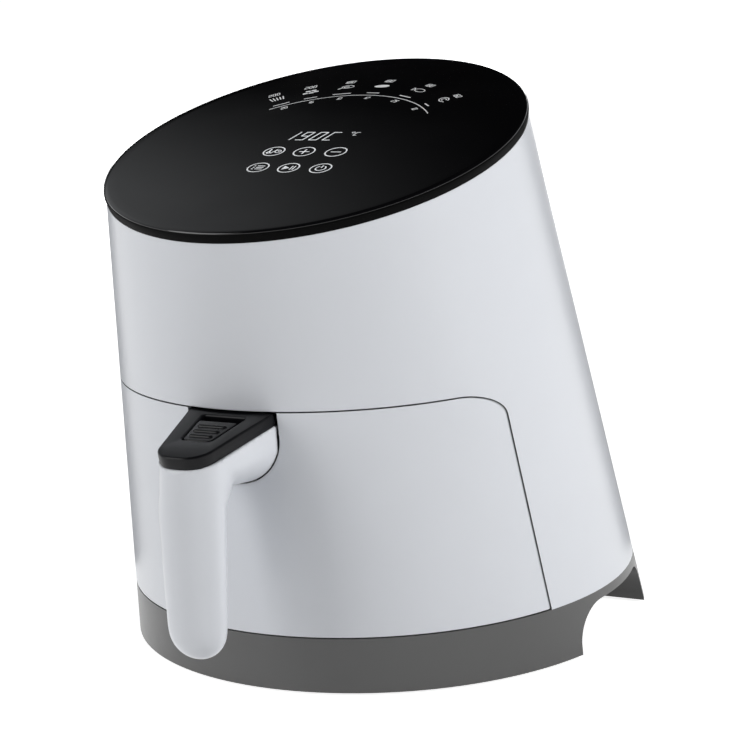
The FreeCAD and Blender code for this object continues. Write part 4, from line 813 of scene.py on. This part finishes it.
def dish_sign(number, turn):
    """A plain sign for a dish: sticks, cubes, a round, a slab, a fish or a curl."""
    def line(path, width=0.55, closed=False):
        dim.stroke([at_scale(turn, DISH_RADIUS, p) for p in path], width, closed)

    def round_line(centre, wide, tall, start=0, end=360, width=0.5):
        steps = [math.radians(start + (end - start) * k / 20) for k in range(21)]
        line([(centre[0] + wide * math.cos(a), centre[1] + tall * math.sin(a)) for a in steps], width)

    if number == 0:
        for k in range(5):
            line([(1.5 * k - 3.0, -2.2), (1.9 * k - 3.8, 2.4)], 0.7)
    elif number == 1:
        for x, y in ((-3.0, -1.4), (0.2, -1.6), (3.0, -0.8), (-1.4, 1.4), (1.8, 1.6)):
            line([(x - 1.1, y), (x + 1.1, y)], 1.7)
    elif number == 2:
        round_line((0.8, 0.6), 3.4, 2.0)
        round_line((0.2, 0.2), 1.4, 0.9)
        line([(-2.4, -0.8), (-4.2, -2.2)], 0.9)
    elif number == 3:
        steps = [2 * math.pi * k / 20 for k in range(20)]
        slab = [(4.4 * math.cos(a), 1.9 * math.sin(a) + 0.5 * math.cos(a)) for a in steps]
        dim.shape([at_scale(turn, DISH_RADIUS, p) for p in slab])
    elif number == 4:
        round_line((0.8, 0.0), 3.6, 1.9)
        line([(-2.6, 0.0), (-4.6, 1.6), (-4.6, -1.6)], 0.5, True)
    else:
        round_line((0.0, 0.0), 3.0, 2.6, 20, 300, 0.6)
        round_line((0.2, 0.0), 1.5, 1.2, 30, 280, 0.5)
        line([(1.4, -2.2), (3.2, -1.6)], 0.5)


for number, (turn, heat, minutes, bar_length) in enumerate(DISHES):
    upright = math.radians(turn - 90.0)
    dish_sign(number, turn)
    figures(dim, heat, at_scale(turn, HEAT_RADIUS), height=3.0, width=0.50, turn=upright)
    figures(dim, minutes, at_scale(turn, TIME_RADIUS), height=2.6, width=0.46, turn=upright)
    dim.stroke([at_scale(turn, BAR_RADIUS, (way * bar_length / 2, 0.0)) for way in (-1, 1)], BAR_WIDTH)


def ink(name, colour, glow):
    """Screen-printed ink, slightly uneven in cover, that glows with emission in its own colour: a backlight
    for the lit print, painted light on the dish scale.
    """
    material = finish(
        name,
        GRAIN,
        Colour=colour,
        Tone=0.06,
        Grain=2500.0,
        Depth=0.05,
        Roughness=0.35,
        Emission_Strength=glow,
    )
    tree = material.node_tree
    shader = tree.nodes["Principled BSDF"]
    cover = shader.inputs["Base Color"].links[0].from_socket
    feed(tree, shader.inputs["Emission Color"], cover)
    return material


lit_print = lit.piece("lit_panel_print", ink("lit_white_ink", (0.80, 0.82, 0.84, 1.0), 0.35))
# The dish scale's glow is painted light that brightens its white print.
dim_print = dim.piece("scale_panel_print", ink("dim_white_ink", (0.76, 0.77, 0.78, 1.0), 0.25))
for panel_print in (lit_print, dim_print):
    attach(panel_print, "housing")

# Drawer front: a piece of the body's own surface that comes forward with the pan, notched
# for the handle. Moulded in the shell's white and held on the pan's bracket.
dress(white_finish, "drawer_front")

# Frying pan and basket: the deep-drawn tray and the perforated bowl that hangs in it. Both
# are coated in dark non-stick with fine paler flecks.
COAT_DARK = (0.028, 0.028, 0.030, 1.0)
COAT_FLECK = (0.120, 0.120, 0.125, 1.0)
coat_finish, tree, coat = blank("flecked_nonstick")
place = add(tree, "ShaderNodeTexCoord").outputs["Object"]
specks = add(tree, "ShaderNodeTexVoronoi", Vector=place, Scale=700.0)
fleck = add(tree, "ShaderNodeValToRGB", Fac=specks.outputs["Distance"])
stops = fleck.color_ramp.elements
stops[0].position, stops[0].color = 0.10, COAT_FLECK
stops[1].position, stops[1].color = 0.22, COAT_DARK
orange_peel = add(tree, "ShaderNodeTexNoise", Vector=place, Scale=420.0, Detail=2.0).outputs["Fac"]
sheen = add(tree, "ShaderNodeMapRange", Value=orange_peel, To_Min=0.30, To_Max=0.44)
bump = add(tree, "ShaderNodeBump", Height=orange_peel, Strength=0.22, Distance=0.0003)
feed(tree, coat.inputs["Base Color"], fleck.outputs["Color"])
feed(tree, coat.inputs["Roughness"], sheen.outputs["Result"])
feed(tree, coat.inputs["Normal"], bump.outputs["Normal"])
dress(coat_finish, "frying_pan", "fry_basket")
dress(rubber_finish, "basket_bumpers")

# Brackets and magnet: a folded bracket joins the pan to the drawer front, another joins the
# basket to the handle, and a sintered magnet on the pan tells that the drawer is shut.
dress(sheet_finish, "pan_bracket", "basket_bracket")
magnet_finish = finish(
    "sintered_magnet",
    METAL,
    Colour=(0.20, 0.20, 0.21, 1.0),
    Cloud=0.3,
    Streak=(900.0, 900.0, 900.0),
    Roughness=0.55,
    Metallic=1.0,
)
dress(magnet_finish, "drawer_magnet")

# Handle screws: two zinc-plated screws through the basket's bracket into the handle's neck.
# They are the base screws' kind, with a taller head.
HANDLE_HEAD_HEIGHT = 0.0016
low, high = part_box("handle_screws")
neck_fasteners = grown(
    "handle_cross_screws",
    [(0.0, high[1] - HANDLE_HEAD_HEIGHT, z) for z in (low[2] + SCREW_HEAD, high[2] - SCREW_HEAD)],
    SCREWS,
    {
        **screw_sizes,
        "Head Height": HANDLE_HEAD_HEIGHT,
        "Shank Length": high[1] - low[1] - HANDLE_HEAD_HEIGHT,
        "Turn": (-math.pi / 2, 0.0, 0.0),
    },
)
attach(neck_fasteners, "drawer")
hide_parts("handle_screws")

# Handle: the white arm that fills the notch and the drop grip in front of it, moulded in
# one with soft blends. The draft is the solid's own form, skinned and then evened out.
ARM_TILT = math.radians(12.3)
ARM_ROOT = (0.0, -0.1201, 0.1423)
ARM_PLACE = Matrix.Translation(ARM_ROOT) @ Matrix.Rotation(ARM_TILT, 4, "X")
COVER_TILT = math.radians(11.1)
COVER_ROOT = (0.0, -0.1201, 0.1488)
COVER_THICK = 0.0069
COVER_PLACE = Matrix.Translation(COVER_ROOT) @ Matrix.Rotation(COVER_TILT, 4, "X")
SKIN_SIZE = 0.0010
SKIN_ROUNDS = 40
SKIN_WELD = 0.000001
SOFT_START = 0.0015
SOFT_RUN = 0.006
STRETCH = 0.016
TUCK = 0.0008
BROW_LOW = 0.050
BROW_HIGH = 0.110
BROW_RUN = 0.030
BROW_DEPTH = 0.012
BROW_LEAST = 0.3
BROW_FORWARD = 0.0018
BROW_WIDEN = 0.045


def welded(mesh, reach, turned_out=False):
    """Merge a mesh's doubled points and, if asked, turn its faces outwards."""
    work = bmesh.new()
    work.from_mesh(mesh)
    bmesh.ops.remove_doubles(work, verts=work.verts, dist=reach)
    if turned_out:
        bmesh.ops.recalc_face_normals(work, faces=work.faces)
    work.to_mesh(mesh)
    work.free()
    return mesh


def share_of(value, least=0.0):
    """A value held between least and 1."""
    return min(1.0, max(least, value))


def handle_mesh():
    """A skinned copy of the handle's solid, blended below the cover and tucked up into it."""
    draft = linked("handle_draft", welded(nodes["handle_grip"].data.copy(), SKIN_WELD))
    skin = draft.modifiers.new("skin", "REMESH")
    skin.mode = "VOXEL"
    skin.voxel_size = SKIN_SIZE
    draft.data = plain(draft)
    draft.modifiers.clear()
    below_arm = ARM_PLACE.inverted()
    into_cover = COVER_PLACE.inverted()
    soft = draft.vertex_groups.new(name="soft")
    for vertex in draft.data.vertices:
        depth = -(below_arm @ vertex.co).z
        from_root = ARM_ROOT[1] - vertex.co.y
        weight = min(share_of((depth - SOFT_START) / SOFT_RUN), share_of(from_root / SOFT_RUN))
        soft.add([vertex.index], weight, "REPLACE")
        brow = share_of((vertex.co.z - BROW_LOW) / (BROW_HIGH - BROW_LOW))
        brow *= share_of(from_root / BROW_RUN) * share_of(depth / BROW_DEPTH, BROW_LEAST)
        vertex.co.x *= 1.0 + BROW_WIDEN * brow
        vertex.co.y -= BROW_FORWARD * brow
        if depth < STRETCH and from_root > 0.0:
            gap = -COVER_THICK - (into_cover @ vertex.co).z - depth + TUCK
            vertex.co.z += gap * (1.0 - max(0.0, depth) / STRETCH)
    even = draft.modifiers.new("even", "SMOOTH")
    even.vertex_group = "soft"
    even.factor = 0.5
    even.iterations = SKIN_ROUNDS
    mesh = plain(draft)
    bpy.data.objects.remove(draft)
    return mesh


handle = shown("drop_handle", handle_mesh(), white_finish)
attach(handle, "drawer")
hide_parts("handle_grip")

# Handle cover: the black plate on the handle's top, with a rounded edge and a tapered
# window for the slider. Satin moulded plastic, snapped down over the arm.
COVER_OUTLINE = ((-23.8, 0.0, 0.6), (-12.9, -53.6, 12.4), (12.9, -53.6, 12.4), (23.8, 0.0, 0.6))
COVER_WINDOW = ((-12.6, -6.7, 1.8), (-8.3, -34.6, 2.6), (8.3, -34.6, 2.6), (12.6, -6.7, 1.8))
COVER_EDGE = 0.0011
PLATE_WELD = 0.000002


def rounded(corners, steps=9):
    """A closed outline in metres from corners given as x, y and radius in millimetres."""
    loop = []
    for k, (x, y, radius) in enumerate(corners):
        here = Vector((x, y))
        into = (Vector(corners[k - 1][:2]) - here).normalized()
        away = (Vector(corners[(k + 1) % len(corners)][:2]) - here).normalized()
        half = into.angle(away) / 2
        centre = here + (into + away).normalized() * radius / math.sin(half)
        first = here + into * radius / math.tan(half) - centre
        last = here + away * radius / math.tan(half) - centre
        sweep = first.angle_signed(last)
        for step in range(steps + 1):
            turned = Matrix.Rotation(-sweep * step / steps, 2) @ first
            loop.append((centre + turned) * MM)
    return loop


def plate(name, loops, thick, edge, top=0.0):
    """A flat plate on the cover's slope with rounded edges; later loops are openings."""
    curve = bpy.data.curves.new(name, "CURVE")
    curve.dimensions = "2D"
    curve.fill_mode = "BOTH"
    for loop in loops:
        spline = curve.splines.new("POLY")
        spline.points.add(len(loop) - 1)
        for point, place in zip(spline.points, loop):
            point.co = (place.x, place.y, 0.0, 1.0)
        spline.use_cyclic_u = True
    curve.extrude = thick / 2 - edge
    curve.bevel_depth = edge
    curve.bevel_resolution = 3
    curve.offset = -edge
    draft = linked(name, curve)
    mesh = welded(plain(draft), PLATE_WELD, True)
    bpy.data.objects.remove(draft)
    mesh.transform(COVER_PLACE @ Matrix.Translation((0.0, 0.0, top - thick / 2)))
    return mesh


cover_finish = finish(
    "satin_black_plastic",
    GRAIN,
    Colour=(0.004, 0.004, 0.005, 1.0),
    Grain=1700.0,
    Depth=0.05,
    Roughness=0.32,
    Specular_IOR_Level=0.18,
)
cover = shown(
    "handle_top_cover",
    plate("handle_top_cover", [rounded(COVER_OUTLINE), rounded(COVER_WINDOW)[::-1]], COVER_THICK, COVER_EDGE),
    cover_finish,
)
cover.data.set_sharp_from_angle(angle=CREASE)
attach(cover, "drawer")
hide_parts("handle_cover")

# Release slider: the thumb piece in the cover's window, with a flange below that keeps it
# in. Black plastic like the cover, a touch glossier where thumbs polish it.
THUMB_OUTLINE = ((-10.9, -12.7, 1.2), (-7.6, -34.1, 2.2), (7.6, -34.1, 2.2), (10.9, -12.7, 1.2))
FLANGE_OUTLINE = ((-13.6, -4.6, 0.8), (-13.6, -36.7, 0.8), (13.6, -36.7, 0.8), (13.6, -4.6, 0.8))
THUMB_THICK = 0.0082
THUMB_EDGE = 0.0006
THUMB_TOP = -0.0002
FLANGE_THICK = 0.0024
FLANGE_EDGE = 0.0003
FLANGE_TOP = -0.0072
thumb_finish = finish(
    "thumb_black_plastic",
    GRAIN,
    Colour=(0.006, 0.006, 0.007, 1.0),
    Grain=1700.0,
    Depth=0.05,
    Roughness=0.28,
    Specular_IOR_Level=0.24,
)
thumb_parts = (
    plate("thumb", [rounded(THUMB_OUTLINE)], THUMB_THICK, THUMB_EDGE, THUMB_TOP),
    plate("thumb_flange", [rounded(FLANGE_OUTLINE)], FLANGE_THICK, FLANGE_EDGE, FLANGE_TOP),
)
work = bmesh.new()
for mesh in thumb_parts:
    work.from_mesh(mesh)
    bpy.data.meshes.remove(mesh)
slider_mesh = bpy.data.meshes.new("thumb_slider")
work.to_mesh(slider_mesh)
work.free()
slider = shown("thumb_slider", slider_mesh, thumb_finish)
slider.data.set_sharp_from_angle(angle=CREASE)
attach(slider, "release")
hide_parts("release_slider")

# Thumb ribs: three rounded bars across the slider, each a little shorter than the one
# behind it. Moulded in one with the slider and polished by use.
RIB_COUNT = 3
RIB_FIRST = 0.0186
RIB_PITCH = 0.0054
RIB_HALF = 0.0082
RIB_SHRINK = 0.10
RIB_WIDTH = 0.0028
RIB_HEIGHT = 0.0010
RIB_STEPS = 25
RIB_BLUNTNESS = 14.0
RIB_TAPER = 0.96


def rib_tree():
    """Bars in a row along -Y, each shorter than the last by a share of the first."""
    tree, given, result = geometry_tree(
        "thumb_ribs",
        Count="Int",
        Pitch="Float",
        Shrink="Float",
        Half_Length="Float",
        Width="Float",
        Height="Float",
        Material="Material",
    )
    step = vector(tree, Y=sum_up(tree, "MULTIPLY", given["Pitch"], -1.0))
    row = add(tree, "GeometryNodeMeshLine", Count=given["Count"], Offset=step)
    start = vector(tree, X=sum_up(tree, "MULTIPLY", given["Half Length"], -1.0))
    spine = add(tree, "GeometryNodeCurvePrimitiveLine", Start=start, End=vector(tree, X=given["Half Length"]))
    points = add(tree, "GeometryNodeResampleCurve", Curve=spine.outputs["Curve"], Count=RIB_STEPS)
    share = add(tree, "GeometryNodeSplineParameter").outputs["Factor"]
    across = sum_up(tree, "ABSOLUTE", sum_up(tree, "MULTIPLY_ADD", share, 2.0, -1.0))
    taper = sum_up(tree, "MULTIPLY", sum_up(tree, "POWER", across, RIB_BLUNTNESS), RIB_TAPER)
    round_bar = add(tree, "GeometryNodeCurvePrimitiveCircle", Resolution=16, Radius=1.0)
    bar = add(
        tree,
        "GeometryNodeCurveToMesh",
        Curve=points.outputs["Curve"],
        Profile_Curve=round_bar.outputs["Curve"],
        Scale=sum_up(tree, "SQRT", sum_up(tree, "SUBTRACT", 1.0, taper)),
        Fill_Caps=True,
    )
    section = vector(tree, X=1.0, Y=sum_up(tree, "MULTIPLY", given["Width"], 0.5), Z=given["Height"])
    number = add(tree, "GeometryNodeInputIndex").outputs["Index"]
    length = sum_up(tree, "SUBTRACT", 1.0, sum_up(tree, "MULTIPLY", number, given["Shrink"]))
    placed = add(
        tree,
        "GeometryNodeInstanceOnPoints",
        Points=row.outputs["Mesh"],
        Instance=moved(tree, bar.outputs["Mesh"], Scale=section),
        Scale=vector(tree, X=length, Y=1.0, Z=1.0),
    )
    return hand_out(tree, placed, given["Material"], result)


ribs = grown(
    "slider_ribs",
    [(0.0, 0.0, 0.0)],
    rib_tree(),
    {
        "Count": RIB_COUNT,
        "Pitch": RIB_PITCH,
        "Shrink": RIB_SHRINK,
        "Half Length": RIB_HALF,
        "Width": RIB_WIDTH,
        "Height": RIB_HEIGHT,
        "Material": thumb_finish,
    },
)
ribs.data.transform(COVER_PLACE @ Matrix.Translation((0.0, -RIB_FIRST, THUMB_TOP)))
ribs.data.shade_smooth()
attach(ribs, "release")

# Latch and leaf springs: the strip under the slider that hooks the pan's bracket, and the
# two bent leaves that push the slider forward again. Stamped from spring strip.
spring_finish = finish(
    "blued_spring_strip",
    METAL,
    Colour=(0.42, 0.42, 0.45, 1.0),
    Streak=(2400.0, 60.0, 2400.0),
    Roughness=0.28,
    Metallic=1.0,
)
dress(spring_finish, "latch_hook", "release_spring")

# Floor: a pale seamless sweep. It is white where the camera, a gloss or a glass sees it
# and keeps the appliance's soft shadow.
FLOOR_HALF = 20.0
FLOOR_DROP = 0.0002
PAPER_WHITE = (0.8, 0.8, 0.8, 1.0)
NEAR_GLOW, FAR_GLOW = 0.86, 0.98
NEAR_BY, FAR_OUT = 0.5, 2.0


def sheet(name, corners, material):
    """A flat four-cornered sheet of the stage."""
    mesh = bpy.data.meshes.new(name)
    mesh.from_pydata(corners, [], [(0, 1, 2, 3)])
    mesh.materials.append(material)
    return linked(name, mesh)


def matt(name, colour):
    """A dead matt stage material: the material, its node tree and its shader."""
    material, tree, shader = blank(name)
    shader.inputs["Base Color"].default_value = colour
    shader.inputs["Roughness"].default_value = 0.9
    shader.inputs["Specular IOR Level"].default_value = 0.0
    return material, tree, shader


def looked_at(tree):
    """1 for rays from the camera, from a gloss or through glass, and 0 for light on surfaces."""
    rays = add(tree, "ShaderNodeLightPath").outputs
    glossy = sum_up(tree, "MAXIMUM", rays["Is Glossy Ray"], rays["Is Transmission Ray"])
    return sum_up(tree, "MAXIMUM", rays["Is Camera Ray"], glossy)


floor_finish, tree, paper = matt("floor_paper", PAPER_WHITE)
paper.inputs["Emission Color"].default_value = (1.0, 1.0, 1.0, 1.0)
far_off = tree.nodes.new("ShaderNodeVectorMath")
far_off.operation = "LENGTH"
feed(tree, far_off.inputs[0], add(tree, "ShaderNodeTexCoord").outputs["Object"])
sweep = add(
    tree,
    "ShaderNodeMapRange",
    Value=far_off.outputs["Value"],
    From_Min=NEAR_BY,
    From_Max=FAR_OUT,
    To_Min=NEAR_GLOW,
    To_Max=FAR_GLOW,
)
glow = sum_up(tree, "MULTIPLY", looked_at(tree), sweep.outputs["Result"])
feed(tree, paper.inputs["Emission Strength"], glow)
floor_signs = ((-1, -1), (1, -1), (1, 1), (-1, 1))
floor = sheet("floor", [(x * FLOOR_HALF, y * FLOOR_HALF, -FLOOR_DROP) for x, y in floor_signs], floor_finish)

# Flags: two dark cards that stand close behind the appliance on either side. They show only
# in glosses, where they give the white body its darker edges.
FLAG_TALL = 0.27
FELT_BLACK = (0.03, 0.03, 0.03, 1.0)
FLAG_LINES = {
    "left_flag": ((-0.187, 0.068), (-0.238, -0.008)),
    "right_flag": ((0.073, 0.208), (0.155, 0.213)),
}
flag_finish = matt("flag_felt", FELT_BLACK)[0]
for name, (start, end) in FLAG_LINES.items():
    card = sheet(name, [(*start, 0.0), (*end, 0.0), (*end, FLAG_TALL), (*start, FLAG_TALL)], flag_finish)
    card.visible_camera = False
    card.visible_diffuse = False
    card.visible_shadow = False

# Studio: a dim even room with a white backdrop low behind the appliance, dark overhead, with
# a pale wall on the left, a soft lamp on the right, a wider one on the left and a low one
# behind.
ROOM_LIGHT = 0.08
ROOM_TINT = (0.95, 0.975, 1.0, 1.0)
HORIZON_BAND = (0.05, 0.40)
BACKDROP_BAND = (-0.40, 0.20)
WALL_BAND = (-0.40, -0.70)
WALL_TOP_BAND = (-0.20, -0.10)
WALL_GLOW = 0.52
LAMP_AIM = Vector((0.0, 0.0, 0.15))
world = bpy.data.worlds.new("studio")
world.use_nodes = True
bpy.context.scene.world = world
tree = world.node_tree
room = tree.nodes["Background"]
room.inputs["Color"].default_value = ROOM_TINT


def band(value, limits, low=0.0, high=1.0):
    """A smooth step from low to high where a value runs between limits."""
    start, end = limits
    step = add(tree, "ShaderNodeMapRange", From_Min=start, From_Max=end, To_Min=low, To_Max=high)
    step.interpolation_type = "SMOOTHSTEP"
    feed(tree, step.inputs["Value"], value)
    return step.outputs["Result"]


way = add(tree, "ShaderNodeSeparateXYZ", Vector=add(tree, "ShaderNodeTexCoord").outputs["Generated"]).outputs
climb = sum_up(tree, "SUBTRACT", way["Z"], way["Y"])
pale = sum_up(tree, "MULTIPLY", band(way["Z"], HORIZON_BAND, 1.0, 0.0), band(way["Y"], BACKDROP_BAND))
wall = sum_up(tree, "MULTIPLY", band(way["X"], WALL_BAND, 0.0, WALL_GLOW), band(climb, WALL_TOP_BAND))
sight = sum_up(tree, "MAXIMUM", pale, wall)
strength = add(tree, "ShaderNodeMix", Factor=looked_at(tree), A=ROOM_LIGHT, B=sight)
feed(tree, room.inputs["Strength"], strength.outputs["Result"])


def lamp(name, size, power, place):
    """A rectangular soft lamp that faces the middle of the appliance."""
    light = bpy.data.lights.new(name, "AREA")
    light.shape = "RECTANGLE"
    light.size, light.size_y = size
    light.energy = power
    stand = linked(name, light)
    stand.location = place
    stand.rotation_euler = (LAMP_AIM - Vector(place)).to_track_quat("-Z", "Y").to_euler()
    return stand


right_softbox = lamp("right_softbox", (0.7, 1.6), 27.5, (1.85, -0.12, 0.85))
right_softbox.visible_glossy = False
lamp("left_softbox", (1.1, 1.6), 20.0, (-1.13, -1.46, 0.85))
lamp("rear_softbox", (1.4, 0.55), 15.0, (-0.95, 1.75, 0.57))

# Camera: the photograph's own view, worked out from the object's outline.
VIEW_TURN = math.radians(28.347)
VIEW_RISE = math.radians(12.179)
VIEW_ROLL = math.radians(-3.211)
VIEW_PLACE = Vector((0.5735, -1.0303, 0.4022))
LENS = 108.86
SENSOR = 36.0
SHIFT = (-0.0040, -0.0223)
back = Vector((
    math.sin(VIEW_TURN) * math.cos(VIEW_RISE),
    -math.cos(VIEW_TURN) * math.cos(VIEW_RISE),
    math.sin(VIEW_RISE),
))
level = Vector((math.cos(VIEW_TURN), math.sin(VIEW_TURN), 0.0))
upright = back.cross(level)
across = math.cos(VIEW_ROLL) * level + math.sin(VIEW_ROLL) * upright
up = -math.sin(VIEW_ROLL) * level + math.cos(VIEW_ROLL) * upright
lens = bpy.data.cameras.new("camera")
lens.lens = LENS
lens.sensor_width = SENSOR
lens.shift_x, lens.shift_y = SHIFT
camera = linked("camera", lens)
camera.matrix_world = Matrix((
    (across.x, up.x, back.x, VIEW_PLACE.x),
    (across.y, up.y, back.y, VIEW_PLACE.y),
    (across.z, up.z, back.z, VIEW_PLACE.z),
    (0.0, 0.0, 0.0, 1.0),
))
bpy.context.scene.camera = camera
bpy.context.scene.view_settings.view_transform = "Standard"
